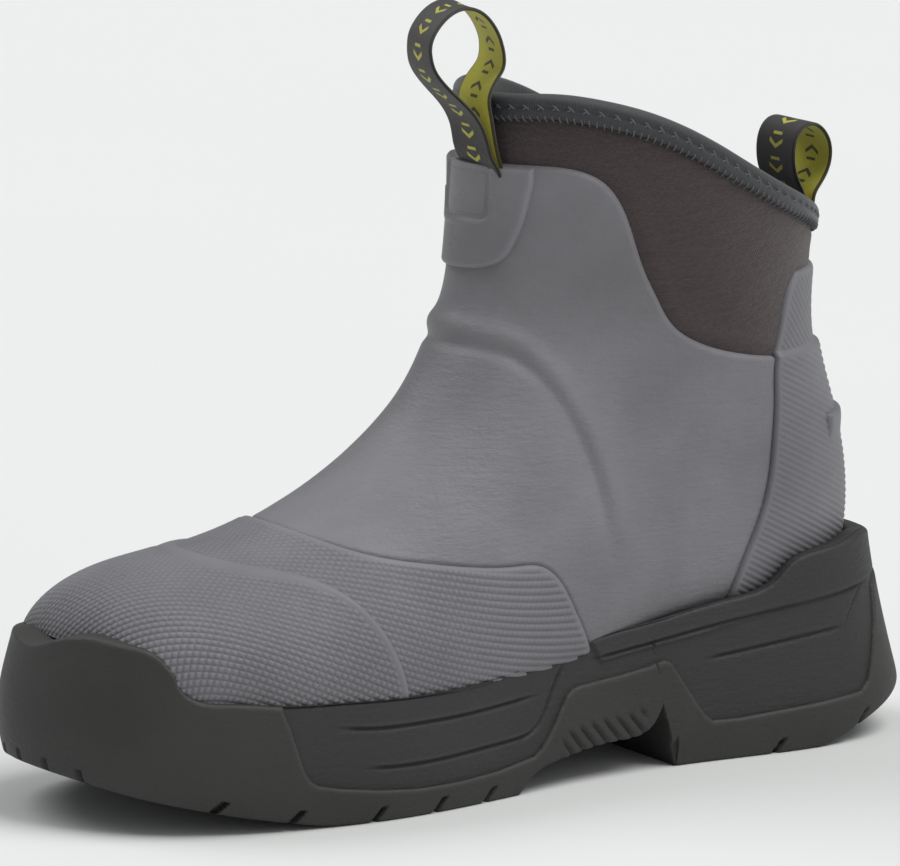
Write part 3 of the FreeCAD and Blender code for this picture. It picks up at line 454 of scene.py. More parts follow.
def xz(grid):
    """Side-view coordinates of a grid or of per-vertex data."""
    return grid["p"][..., 0], grid["p"][..., 2]


def above_sole(grid, tuck):
    """Height above the line that lies tuck below the sole's top edge."""
    x, z = xz(grid)
    dense = curve(SOLE_TOP)
    return z - (np.interp(x, dense[:, 0], dense[:, 1]) - tuck)


# ---- materials


class Nodes:
    """Small helper for writing node materials."""

    def __init__(self, name):
        self.mat = bpy.data.materials.new(name)
        self.mat.use_nodes = True
        self.tree = self.mat.node_tree
        self.bsdf = self.tree.nodes["Principled BSDF"]

    def add(self, kind, **values):
        node = self.tree.nodes.new(kind)
        for key, value in values.items():
            if key in node.inputs:
                node.inputs[key].default_value = value
            else:
                setattr(node, key, value)
        return node

    def link(self, source, target):
        self.tree.links.new(source, target)

    def feed(self, socket, value):
        """Links a socket to a node's output, or sets it to a number or a colour."""
        if hasattr(value, "is_output"):
            self.link(value, socket)
        elif isinstance(value, tuple):
            socket.default_value = (*value, 1) if len(value) == 3 else value
        else:
            socket.default_value = value

    def math(self, op, a, b=None, c=None, clamp=False):
        node = self.tree.nodes.new("ShaderNodeMath")
        node.operation, node.use_clamp = op, clamp
        for i, value in enumerate((a, b, c)):
            if value is not None:
                self.feed(node.inputs[i], value)
        return node.outputs[0]

    def scaled(self, value, factor, clamp=False):
        return self.math("MULTIPLY", value, factor, clamp=clamp)

    def blend(self, a, share_a, b, share_b):
        """The weighted sum of two values."""
        return self.math("ADD", self.scaled(a, share_a), self.scaled(b, share_b))

    def ramp(self, value, stops):
        node = self.tree.nodes.new("ShaderNodeValToRGB")
        ramp = node.color_ramp
        while len(ramp.elements) < len(stops):
            ramp.elements.new(0.5)
        for element, (place, colour) in zip(ramp.elements, stops):
            element.position = place
            element.color = (*colour, 1) if len(colour) == 3 else colour
        self.link(value, node.inputs[0])
        return node.outputs[0]

    def mix(self, share, a, b):
        node = self.tree.nodes.new("ShaderNodeMix")
        node.data_type = "RGBA"
        for i, value in ((0, share), (6, a), (7, b)):
            self.feed(node.inputs[i], value)
        return node.outputs[2]

    def noise(self, coords, scale, detail=3.0, rough=0.5, stretch=None):
        if stretch is not None:
            mapping = self.add("ShaderNodeMapping")
            mapping.inputs["Scale"].default_value = stretch
            self.link(coords, mapping.inputs[0])
            coords = mapping.outputs[0]
        node = self.add("ShaderNodeTexNoise")
        node.inputs["Scale"].default_value = scale
        node.inputs["Detail"].default_value = detail
        node.inputs["Roughness"].default_value = rough
        self.link(coords, node.inputs["Vector"])
        return node.outputs[0]

    def coords(self):
        return self.add("ShaderNodeTexCoord").outputs["Object"]

    def uv(self):
        """The run lengths across and along a piece, in centimetres."""
        node = self.add("ShaderNodeUVMap")
        node.uv_map = "run"
        split = self.add("ShaderNodeSeparateXYZ")
        self.link(node.outputs[0], split.inputs[0])
        return split.outputs[0], split.outputs[1]

    def bump(self, height, strength, depth, under=None):
        node = self.add("ShaderNodeBump")
        node.inputs["Strength"].default_value = strength
        node.inputs["Distance"].default_value = depth
        self.link(height, node.inputs["Height"])
        if under is not None:
            self.link(under, node.inputs["Normal"])
        return node.outputs[0]

    def finish(self, colour, rough, normal=None, **principled):
        for key, value in (("Base Color", colour), ("Roughness", rough)):
            self.feed(self.bsdf.inputs[key], value)
        if normal is not None:
            self.link(normal, self.bsdf.inputs["Normal"])
        for key, value in principled.items():
            self.bsdf.inputs[key.replace("_", " ")].default_value = value
        return self.mat


def tint(colour, factor):
    return tuple(min(1, c * factor) for c in colour)


def rubber(name, base, rough, grain=0.0003, grain_scale=900, streak=True, mottle=0.12):
    """Matte moulded rubber: cloudy colour, fine pebbled grain, faint flow streaks, and painted highlights and
    painted shade taken from a per-vertex attribute.
    """
    n = Nodes(name)
    where = n.coords()
    cloud = n.noise(where, 28, 4, 0.55)
    fine = n.noise(where, grain_scale, 3, 0.6)
    colour = n.ramp(cloud, [(0.32, tint(base, 1 - mottle)), (0.68, tint(base, 1 + mottle))])
    # Per-vertex painted light: positive values mix in a paler painted highlight, negative values mix in painted
    # shade
    painted_light = n.add("ShaderNodeAttribute")
    painted_light.attribute_name = "painted_light"
    painted_highlight = tuple(min(1, c * 1.55 + 0.01) for c in base)
    colour = n.mix(n.scaled(painted_light.outputs["Fac"], 0.75, True), colour, painted_highlight)
    # Painted shade: negative per-vertex values darken the colour
    colour = n.mix(n.scaled(painted_light.outputs["Fac"], -1.0, True), colour, tint(base, 0.35))
    rough_out = n.math("MULTIPLY_ADD", fine, 0.14, rough - 0.07)
    normal = n.bump(fine, 0.6, grain)
    if streak:
        lines = n.noise(where, 330, 5, 0.65, stretch=(0.5, 0.5, 2.0))
        normal = n.bump(lines, 0.8, grain * 1.5, normal)
    return n.finish(colour, rough_out, normal, Specular_IOR_Level=0.42)


def jersey(name, base, rough=0.86):
    """Jersey-faced neoprene: fine slanting knit ribs, cross grain, small fuzz."""
    n = Nodes(name)
    across, along = n.uv()
    where = n.coords()
    slant = n.blend(across, 30.0, along, 62.0)
    wobble = n.scaled(n.noise(where, 420, 2), 2.6)
    ribs = n.math("MULTIPLY_ADD", n.math("SINE", n.math("ADD", slant, wobble)), 0.5, 0.5)
    cross = n.noise(where, 700, 3, 0.65, stretch=(1, 1, 2.4))
    crease = n.noise(where, 210, 4, 0.65, stretch=(0.5, 0.5, 2.1))
    height = n.blend(ribs, 0.35, cross, 0.9)
    tone = n.blend(ribs, 0.28, cross, 0.72)
    colour = n.ramp(tone, [(0.30, tint(base, 0.70)), (0.72, tint(base, 1.30))])
    normal = n.bump(height, 0.8, 0.0004)
    normal = n.bump(crease, 0.9, 0.0011, normal)
    return n.finish(colour, rough, normal, Sheen_Weight=0.25, Sheen_Roughness=0.6, Specular_IOR_Level=0.2)


def tape(name, base):
    """Elastic edge binding: fine cross ribs and a slight sheen."""
    n = Nodes(name)
    across, _ = n.uv()
    ribs = n.math("MULTIPLY_ADD", n.math("SINE", n.scaled(across, 75.0)), 0.5, 0.5)
    tone = n.blend(ribs, 0.4, n.noise(n.coords(), 800, 3, 0.6), 0.6)
    colour = n.ramp(tone, [(0.25, tint(base, 0.75)), (0.75, tint(base, 1.25))])
    normal = n.bump(tone, 0.5, 0.00022)
    return n.finish(colour, 0.62, normal, Sheen_Weight=0.2, Specular_IOR_Level=0.35)


def plain(name, base, rough, scale=500, depth=0.0002):
    """A simple textured material for pieces hidden inside."""
    n = Nodes(name)
    grain = n.noise(n.coords(), scale, 4, 0.6)
    colour = n.ramp(grain, [(0.3, tint(base, 0.8)), (0.7, tint(base, 1.2))])
    return n.finish(colour, n.math("MULTIPLY_ADD", grain, 0.2, rough - 0.1), n.bump(grain, 0.6, depth))


def webbing(name, dark, bright, flip):
    """Woven webbing with plain edges and a jacquard of chevrons and dashes; flip swaps the two yarns."""
    n = Nodes(name)
    repeat = 8.0

    def stripe(distance_along, middle, half):
        beat = n.math("FRACT", n.math("DIVIDE", distance_along, repeat))
        return n.math("LESS_THAN", n.math("ABSOLUTE", n.math("SUBTRACT", beat, middle)), half)

    across, along = (n.scaled(run, 10.0) for run in n.uv())
    off = n.math("ABSOLUTE", n.math("SUBTRACT", across, WEBBING_WIDTH / 2))
    chevron = stripe(n.math("ADD", along, n.scaled(off, 0.55)), 0.30, 0.085)
    dash = stripe(along, 0.78, 0.06)
    mark = n.math("MAXIMUM", n.math("MULTIPLY", chevron, n.math("LESS_THAN", off, 3.6)),
                  n.math("MULTIPLY", dash, n.math("LESS_THAN", off, 2.4)))
    weft = n.math("SINE", n.scaled(along, 2 * math.pi / 0.9))
    warp = n.math("SINE", n.scaled(across, 2 * math.pi / 0.75))
    weave = n.math("MULTIPLY_ADD", n.math("MULTIPLY", weft, warp), 0.5, 0.5)
    yarn = n.noise(n.coords(), 900, 2, 0.6)
    field, ink = (bright, dark) if flip else (dark, bright)
    edge = n.math("GREATER_THAN", off, 9.9)
    ground = n.mix(edge, field, dark)
    colour = n.mix(mark, ground, ink)
    shade = n.blend(weave, 0.35, yarn, 0.65)
    colour = n.mix(n.math("MULTIPLY_ADD", shade, -0.40, 0.36, clamp=True), colour, tint(field, 0.35))
    height = n.blend(weave, 0.8, mark, 0.5)
    return n.finish(colour, 0.72, n.bump(height, 0.7, 0.00025), Sheen_Weight=0.2, Specular_IOR_Level=0.3)


SHELL_GREY = (0.190, 0.186, 0.203)
GUARD_GREY = (0.172, 0.169, 0.185)
OUTSOLE_GREY = (0.034, 0.033, 0.032)
MIDSOLE_BLACK = (0.030, 0.029, 0.031)
BROWN = (0.058, 0.041, 0.042)
SLATE = (0.042, 0.043, 0.047)
YARN_DARK = (0.024, 0.020, 0.020)
YARN_YELLOW = (0.56, 0.53, 0.05)
mat_shell = rubber("shell_rubber", SHELL_GREY, 0.52, 0.00030, 760)
mat_guard = rubber("guard_rubber", GUARD_GREY, 0.55, 0.00012, 900, streak=False)
mat_out = rubber("outsole_rubber", OUTSOLE_GREY, 0.60, 0.00030, 900, mottle=0.10)
mat_mid = rubber("midsole_foam", MIDSOLE_BLACK, 0.60, 0.00035, 700, mottle=0.08)
mat_neoprene = jersey("neoprene", BROWN)
mat_binding = tape("binding_textile", SLATE)
mat_thread = plain("thread", (0.105, 0.105, 0.112), 0.6, 1500, 0.0001)
mat_web_out = webbing("webbing_outside", YARN_DARK, YARN_YELLOW, False)
mat_web_in = webbing("webbing_inside", YARN_DARK, YARN_YELLOW, True)
mat_lining = jersey("lining_textile", (0.030, 0.030, 0.033))
mat_insert = plain("insert_rubber", (0.55, 0.52, 0.06), 0.5, 600)

# ---- upper: shell
dense_rib = curve(RIB_LINE)


def heel_inside(x, z):
    """Signed distance inside the heel guard's front and top edges."""
    return np.minimum(-ahead(x, z, HEEL_EDGE), GUARD_TOP - z)


def shell_field(grid):
    x, z = xz(grid)
    return np.minimum(below(x, z, SHELL_LINE), above_sole(grid, 6.5))


def shell_height(data):
    x, z = xz(data)
    p = data["p"]
    edge = below(x, z, SHELL_LINE)
    height = (round_edge(edge, 1.7) - 1) * 1.9
    for field in (ahead(x, z, VAMP_EDGE), heel_inside(x, z)):
        height -= 0.7 * crest(np.minimum(field, 0), 0, 0.55) * (field > -3)
    rib = distance(x, z, dense_rib)
    side = np.where(x > np.interp(z, dense_rib[::-1, 1], dense_rib[::-1, 0]), 1, -1)
    fade = smooth(z, 62, 96)
    height += fade * 1.2 * crest(rib, 0, np.where(side > 0, 3.8, 3.4))
    height -= fade * 0.95 * crest(rib, 5.2, 2.2) * (side > 0)
    height += 0.30 * lumps(p, 34, 3) + 0.08 * lumps(p, 11, 5)
    return height


shell = layer("shell_skin", rows(4, 11.6, 0.62), np.linspace(-0.5, 0.5, 561), shell_field, shell_height, 1.2)
place(shell, "rubber_shell", "shell_rubber", mat_shell)

# ---- upper: neoprene sock


def sock_field(grid):
    x, z = xz(grid)
    return np.minimum(below(x, z, TOP_LINE) - 0.9, -below(x, z, SHELL_LINE) + 7.0)


def sock_height(data):
    x, z = xz(data)
    hem = -below(x, z, SHELL_LINE)
    puff = 0.35 * crest(hem, 3.5, 3.0)
    seam = crest(below(x, z, TOP_LINE), 7.3, 1.1)
    ripple = lumps(data["p"] * np.array([1, 1, 2.6]), 17, 11)
    return -2.1 + puff - 0.5 * seam + 0.28 * ripple


sock = layer("neoprene_sock", rows(8.2, 12, 0.55), np.linspace(-0.5, 0.5, 561), sock_field, sock_height, 0.6)
place(sock, "neoprene_bootie", "neoprene", mat_neoprene)

# ---- overlays with real knurling


def triangle_wave(t):
    """0 at whole numbers, 1 halfway between them."""
    return 1 - np.abs(2 * (t - np.floor(t)) - 1)


def knurl(data):
    """Rows of small flat-topped pyramids, 0 to 1."""
    a = triangle_wave((data["lu"] * 0.75 + data["lv"]) / KNURL_PITCH)
    b = triangle_wave((data["lu"] * 0.75 - data["lv"]) / KNURL_PITCH)
    return np.clip(np.minimum(a, b) * 2.2, 0, 1)


def cap_field(grid):
    x, z = xz(grid)
    return np.minimum(ahead(x, z, CAP_EDGE), above_sole(grid, 5.0))


def cap_height(data):
    edge = ahead(*xz(data), CAP_EDGE)
    plate = 2.4 * round_edge(edge, 1.5) - 0.35 + 0.45 * crest(edge, 1.8, 1.4)
    tex = smooth(edge, 2.8, 4.0)
    return plate + 0.62 * tex * (knurl(data) - 0.4) + 0.15 * lumps(data["p"], 30, 4)


# Painted highlight along the cap's rim bead, painted highlights on the knurl tops and painted shade in the knurl
# valleys
def cap_shade(data):
    edge = ahead(*xz(data), CAP_EDGE)
    return 0.25 * crest(edge, 1.6, 1.4) + 0.45 * smooth(edge, 2.6, 4.4) * (knurl(data) - 0.5)


cap = layer("toe_guard", rows(0.25, 4.6, 0.36), np.linspace(-0.345, 0.345, 430), cap_field, cap_height, 1.0,
            cap_shade)


def vamp_field(grid):
    x, z = xz(grid)
    return np.minimum(np.minimum(ahead(x, z, VAMP_EDGE), 3.5 - ahead(x, z, CAP_EDGE)), above_sole(grid, 5.0))


def vamp_height(data):
    x, z = xz(data)
    edge = ahead(x, z, VAMP_EDGE)
    plate = 1.5 * round_edge(edge, 1.3) - 0.3
    tex = smooth(edge, 1.2, 2.4)
    ribs = np.clip(triangle_wave((data["lu"] * 0.75 - np.abs(data["lv"])) / KNURL_PITCH) * 1.6, 0, 1)
    share = smooth(x, 158, 190)
    return plate + 0.58 * tex * (share * knurl(data) + (1 - share) * ribs - 0.4) + 0.15 * lumps(data["p"], 30, 4)


# Painted highlight along the vamp guard's rounded rim, painted highlights on the knurl tops and painted shade
# between them
def vamp_shade(data):
    edge = ahead(*xz(data), VAMP_EDGE)
    return 0.35 * crest(edge, 0.9, 0.9) + 0.40 * smooth(edge, 1.2, 2.4) * (knurl(data) - 0.5)


vamp = layer("vamp_guard", rows(2.6, 6.8, 0.38), np.linspace(-0.37, 0.37, 470), vamp_field, vamp_height, 1.0,
             vamp_shade)


def heel_field(grid):
    return np.minimum(heel_inside(*xz(grid)), above_sole(grid, 5.0))


def heel_height(data):
    x, z = xz(data)
    edge = heel_inside(x, z)
    step = smooth(z, TAB_BREAK - 1, TAB_BREAK + 1)
    plate = (1.6 * round_edge(edge, 1.3) - 0.3) - 1.9 * step
    tex = smooth(edge, 1.0, 2.0)
    slope = np.where(z > TAB_BREAK, 1.15, 0.5)
    ribs = triangle_wave((z - slope * x) / np.where(z > TAB_BREAK, 2.9, 2.12))
    smooth_band = 1 - np.exp(-((z - 127.5) / 1.3) ** 4)
    return plate + 0.36 * tex * smooth_band * (np.clip(ribs * 1.5, 0, 1) - 0.4)


# Painted highlight along the heel guard's rounded rim
def heel_shade(data):
    return 0.2 * crest(heel_inside(*xz(data)), 0.9, 0.9)


heel = layer("heel_guard", rows(6.6, 11.4, 0.36), np.linspace(0.18, 0.82, 560), heel_field, heel_height, 1.0,
             heel_shade)


def kick_field(grid):
    y, z = grid["p"][..., 1], grid["p"][..., 2]
    box = np.minimum(np.minimum(KICK_HALF_WIDTH - np.abs(y), KICK_TOP - z), z - KICK_BOTTOM)
    return np.where(grid["p"][..., 0] < BACK_BEHIND, box, -5)


def kick_height(data):
    tall = smooth(data["p"][:, 2], 95.0, 104.5)
    return 1.0 + (0.35 + 1.75 * tall) * round_edge(data["f"], 1.1)


kick = layer("kick_block", rows(7.6, 10.6, 0.4), np.linspace(0.30, 0.70, 300), kick_field, kick_height, 1.2)


patch_ring = np.array([(-y, z) for y, z in PATCH_HALF] + [(y, z) for y, z in PATCH_HALF[::-1]])
patch_ring = np.concatenate([patch_ring[:1], curve(patch_ring)[1:-1], patch_ring[-1:]])


def patch_signed(p):
    """Signed distance inside the patch's outline, seen from the front."""
    y, z = p[..., 1], p[..., 2]
    sign = np.where(within(y, z, patch_ring), 1, -1)
    return np.where(p[..., 0] > FRONT_AHEAD, sign * distance(y, z, patch_ring, closed=True), -9)


def recess(p):
    """Signed distance inside the patch's recess, with rounded lower corners."""
    y, z = np.abs(p[..., 1]), p[..., 2]
    corner = np.hypot(np.maximum(y - 8.6, 0), np.maximum(177.4 - z, 0))
    return 3.4 - corner


def patch_height(data):
    inner = recess(data["p"])
    raised = 1.9 * round_edge(data["f"], 1.2) - 0.25
    lip = 0.35 * crest(inner, -1.0, 0.9) * (data["p"][:, 2] < 182)
    return raised - 0.95 * smooth(inner, -0.2, 0.7) + lip


# The last argument paints a highlight along the patch's rounded rim
patch = layer("loop_patch", rows(7.4, 10.9, 0.35), np.linspace(-0.14, 0.14, 230), lambda g: patch_signed(g["p"]),
              patch_height, 0.9, lambda d: 0.35 * crest(d["f"], 0.9, 0.8))


def badge_field(grid):
    y, z = np.abs(grid["p"][..., 1]), grid["p"][..., 2]
    corner = np.hypot(np.maximum(y - 8.0, 0), np.maximum(178.4 - z, 0))
    return np.where(grid["p"][..., 0] > FRONT_AHEAD, np.minimum(2.6 - corner, 189.2 - z), -9)


badge = layer("badge_plate", rows(8.6, 10.7, 0.35), np.linspace(-0.06, 0.06, 110), badge_field,
              lambda d: 0.45 + 0.45 * round_edge(d["f"], 0.6), 0.5)
for piece, node in ((cap, "toe_cap"), (vamp, "vamp_overlay"), (heel, "heel_overlay"), (kick, "kick_rib")):
    place(piece, node, "guard_rubber", mat_guard)
place(patch, "front_patch", "shell_rubber", mat_shell)
place(badge, "front_badge", "badge_rubber", mat_shell)

# ---- collar binding and stitches
COLLAR_COLUMNS = 900


def unit(vectors):
    return vectors / np.linalg.norm(vectors, axis=1, keepdims=True)


def collar_rim():
    """Where the upper's skin meets the top line: points, outward and downward directions, one per column."""
    us = rows(9.6, 12, 0.3)
    grid = surface(us, np.linspace(0, 1, COLLAR_COLUMNS + 1))
    depth = below(*xz(grid), TOP_LINE)[:, :-1]
    low = len(us) - np.argmax(depth[::-1] > 0, axis=0) - 1
    high = np.minimum(low + 1, len(us) - 1)
    column = np.arange(COLLAR_COLUMNS)
    share = depth[low, column] / (depth[low, column] - depth[high, column] + 1e-9)
    share = np.clip(share, 0, 1)[:, None]
    place_on, out_on = (grid[key][low, column] * (1 - share) + grid[key][high, column] * share for key in "pn")
    out_on = unit(out_on)
    down = unit(np.cross(unit(np.roll(place_on, -3, 0) - np.roll(place_on, 3, 0)), out_on))
    return place_on, out_on, down * np.where(down[:, 2:] > 0, -1, 1)


rim, rim_n, rim_d = collar_rim()
rim_run = space_run(rim)
rim_total = rim_run[-1] + np.linalg.norm(rim[0] - rim[-1])
# The binding's section: offsets out of the skin and down from the rim.
BINDING = np.array([
    (-2.4, 6.9), (-1.5, 7.1), (-0.85, 6.7), (-0.45, 5.9), (-0.30, 4.8), (-0.42, 3.9), (-0.50, 3.3),
    (-0.30, 2.4), (-0.45, 1.4), (-1.1, 0.5), (-2.2, -0.1), (-3.6, -0.4), (-5.2, -0.4), (-6.6, -0.1),
    (-7.8, 0.5), (-8.5, 1.4), (-8.8, 2.6), (-8.9, 4.2), (-8.8, 5.6), (-8.5, 6.5), (-8.0, 6.9), (-7.3, 6.8)
])
STITCH_PITCH = 5.0
STITCH_LINES = 3.3, 6.3
OUTER_FACE = -1.4
stitch_count = int(rim_total / STITCH_PITCH)


def edge_binding():
    """The binding folded over the rim, pulled in under each stitch and slightly wavy."""
    profile = curve(BINDING, 3)
    turn = 2 * math.pi * ((rim_run / rim_total * stitch_count) % 1.0)
    wave = 0.12 * np.sin(2 * math.pi * rim_run / rim_total * 9)
    verts = []
    for n_off, d_off in profile:
        pull = 0.0
        if n_off > OUTER_FACE:
            pull = -0.32 * crest(d_off, STITCH_LINES[0], 0.8) * (0.55 + 0.45 * np.cos(turn))
            pull = pull - 0.18 * crest(d_off, STITCH_LINES[1], 0.7) * (0.5 + 0.5 * np.cos(2 * turn))
        outward = rim_n * (n_off + pull + wave * 0.3)[:, None]
        verts.append(rim + outward + rim_d * (d_off + wave * (d_off > 5))[:, None])
    verts = np.array(verts)
    count, wide = verts.shape[:2]
    index = np.arange(count * wide).reshape(count, wide)
    after = np.roll(index, -1, 1)
    faces = np.stack([index[:-1], index[1:], after[1:], after[:-1]], -1).reshape(-1, 4)
    down_run = np.tile(plane_run(profile)[:, None], (1, wide))
    uv = np.stack([np.tile(rim_run, (count, 1)), down_run], -1).reshape(-1, 2)
    return make("edge_binding", verts.reshape(-1, 3), faces, uv)


place(edge_binding(), "collar_binding", "binding_textile", mat_binding)


def at_rim(run, n_off, d_off):
    """A point at a run length round the collar, at an offset out and down from its edge."""
    run = run % rim_total
    ring_run = np.concatenate([rim_run, [rim_total]])

    def pick(values):
        closed = np.concatenate([values, values[:1]])
        return np.array([np.interp(run, ring_run, closed[:, k]) for k in range(3)])
    return pick(rim) + pick(rim_n) * n_off + pick(rim_d) * d_off


SIDES = 8


def capsules(name, paths, radius):
    """Thread laid along short paths, as one mesh of small round tubes with closed ends."""
    verts, faces = [], []
    for path in paths:
        path = np.array(path)
        axis = path[-1] - path[0]
        axis /= np.linalg.norm(axis)
        side = np.cross(axis, (0.3, 0.2, 0.93))
        side /= np.linalg.norm(side)
        other = np.cross(axis, side)
        start = len(verts)
        tip = axis * radius * 0.6
        rings = [(path[0] - tip, 0.45)] + [(p, 1.0) for p in path] + [(path[-1] + tip, 0.45)]
        for centre, scale in rings:
            for k in range(SIDES):
                a = 2 * math.pi * k / SIDES
                verts.append(centre + (side * math.cos(a) + other * math.sin(a)) * radius * scale)
        for r in range(len(rings) - 1):
            for k in range(SIDES):
                a, b = start + r * SIDES + k, start + r * SIDES + (k + 1) % SIDES
                faces.append([a, b, b + SIDES, a + SIDES])
        faces.append([start + k for k in range(SIDES)][::-1])
        faces.append([start + (len(rings) - 1) * SIDES + k for k in range(SIDES)])
    return make(name, np.array(verts), faces)


upper_paths, lower_paths = [], []
for i in range(stitch_count):
    s = (i + 0.5) * rim_total / stitch_count
    upper_paths.append([at_rim(s - 1.1, -0.62, 2.5), at_rim(s, -0.36, 3.15), at_rim(s + 1.0, -0.62, 4.0)])
    upper_paths.append([at_rim(s - 1.1, -0.62, 4.1), at_rim(s - 0.2, -0.40, 3.5)])
    for half in (-0.25, 0.25):
        q = s + half * STITCH_PITCH
        lower_paths.append([at_rim(q, -0.55, 6.1), at_rim(q + 0.25, -0.80, 7.0), at_rim(q + 0.5, -2.0, 7.9)])
place(capsules("cover_stitch_upper", upper_paths, 0.30), "stitch_row_upper", "thread", mat_thread)
place(capsules("cover_stitch_lower", lower_paths, 0.26), "stitch_row_lower", "thread", mat_thread)

# ---- pull loops


def strap(name, line, node, seed, middle_y, lean):
    """Webbing bent along a side-view line, with rounded edges. lean moves its lateral edge forward at the top."""
    width = WEBBING_WIDTH
    path = curve(line, 14)
    knots = plane_run(path)
    ahead_dir = np.gradient(path, axis=0)
    ahead_dir /= np.linalg.norm(ahead_dir, axis=1, keepdims=True)
    normal = np.stack([-ahead_dir[:, 1], ahead_dir[:, 0]], 1)
    across = np.linspace(-1, 1, 33)
    lean_from, lean_to = line[2][1] + 4, max(z for _, z in line) - 12
    verts, uvs = [], []
    for sign in (1, -1):
        for k, (point, n) in enumerate(zip(path, normal)):
            for a in across:
                edge = math.sqrt(max(0.0, 1 - max(0.0, (abs(a) - 0.94) / 0.06) ** 2))
                cup = 0.35 * math.sin(knots[k] / 9.0 + seed) * a * a
                off = sign * WEBBING_WALL / 2 * edge + cup
                twist = a * np.interp(point[1], (lean_from, lean_to), (0, lean))
                verts.append((point[0] + n[0] * off + twist, middle_y + a * width / 2, point[1] + n[1] * off))
                uvs.append(((a + 1) * width / 2, knots[k]))
    count, wide = len(path), len(across)
    back = count * wide
    faces, mats = [], []

    def add(quad, turned, face):
        faces.append(quad[::-1] if turned else quad)
        mats.append(face)

    for face in (0, 1):
        for k in range(count - 1):
            for a in range(wide - 1):
                at = face * back + k * wide + a
                add([at, at + 1, at + wide + 1, at + wide], face == 0, face)
    for k in range(count - 1):
        for a in (0, wide - 1):
            at = k * wide + a
            add([at, at + wide, back + at + wide, back + at], a > 0, 0)
    for k in (0, count - 1):
        for a in range(wide - 1):
            at = k * wide + a
            add([at, at + 1, back + at + 1, back + at], k > 0, 0)
    obj = make(name, np.array(verts), faces, np.array(uvs))
    obj.data.materials.append(mat_web_out)
    obj.data.materials.append(mat_web_in)
    obj.data.polygons.foreach_set("material_index", mats)
    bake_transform(obj)
    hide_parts(node)


strap("front_webbing", FRONT_LOOP[::-1], "front_pull_loop",
      0.4, 5.4, 2.4)
strap("rear_webbing", REAR_LOOP, "rear_pull_loop",
      2.0, 2.2, 0.0)

# ---- sole unit
COLUMNS = 1180
outline = closed_curve(SOLE_OUTLINE, COLUMNS)
top_dense = curve(SOLE_TOP)
under = np.concatenate([curve(line) for line in (HEEL_UNDER, ARCH_UNDER, FORE_UNDER)])


def underside(x):
    """Height of the sole's underside."""
    return np.maximum(np.interp(x, under[:, 0], under[:, 1]), 0)


level_z = np.linspace(0, 76, 153)
level_table = spline(SOLE_LEVELS[:, 0], SOLE_LEVELS[:, 1:], level_z)


def wall(z):
    """Points of the sole's side wall, one per column, at the columns' heights z."""
    heel_in, toe_in, side_in = (np.interp(z, level_z, level_table[:, k]) for k in range(3))
    x = heel_in + outline[:, 0] * (SOLE_LENGTH - heel_in - toe_in) / SOLE_LENGTH
    y = outline[:, 1] * (1 - side_in / SOLE_HALF_WIDTH)
    return np.stack([x, y, z], 1)


def settle(line_z):
    """Each column's height where the wall meets a side-view line."""
    z = line_z(outline[:, 0])
    for _ in range(6):
        z = line_z(wall(z)[:, 0])
    return z


nose_drop = 5.0 * smooth(outline[:, 0], 268, 292) * smooth(-outline[:, 1], -22, 8)
top_z = settle(lambda x: np.interp(x, top_dense[:, 0], top_dense[:, 1]) - nose_drop)
low_z = settle(underside)
tangent = unit(np.roll(outline, -2, 0) - np.roll(outline, 2, 0))
flat = np.zeros(COLUMNS)
inward = np.stack([tangent[:, 1], -tangent[:, 0], flat], 1)
middle = np.stack([np.clip(outline[:, 0], 40, 270), flat, flat], 1)
if (inward * (middle - np.c_[outline, flat])).sum() < 0:
    inward = -inward


def lip_reach(standoff=12, limit=60, missing=8.0, span=15):
    """How far in from the sole's top edge the upper stands, per column, averaged over span columns."""
    skin = surface(rows(0, 11, 1.6), np.linspace(0, 1, 260))["p"]
    index = np.arange(skin[..., 0].size).reshape(skin.shape[:2])
    quads = np.stack([index[:-1, :-1], index[1:, :-1], index[1:, 1:], index[:-1, 1:]], -1).reshape(-1, 4)
    tree = BVHTree.FromPolygons([Vector(p) for p in skin.reshape(-1, 3)], quads.tolist())
    reach = np.full(COLUMNS, missing)
    for j, start in enumerate(wall(top_z) - inward * standoff):
        hit = tree.ray_cast(Vector(start), Vector(inward[j]), limit)
        if hit[0] is not None:
            reach[j] = hit[3] - standoff
    half = span // 2
    return np.convolve(np.concatenate([reach[-half:], reach, reach[:half]]), np.ones(span) / span, "valid")


lip = np.clip(lip_reach() - 2.1, 1.4, 12)
# The lip's section: share of its width, and height over the top edge.
LIP = [(1.0, -6.5), (1.0, -1.2), (0.90, -0.25), (0.7, 0.0), (0.45, 0.0)]
LIP_FOOT_IN, LIP_FOOT_DOWN = 6.0, 9
TOP_ROLL, TOP_ROLL_ROWS = 1.3, 5
LOW_ROLL, LOW_ROLL_ROWS = 1.1, 4
SIDE_ROWS = 92
BOTTOM_ROWS = 58
ON_TOP, ON_SIDE, ON_BOTTOM = 0, 1, 2
OUTSIDE = -20


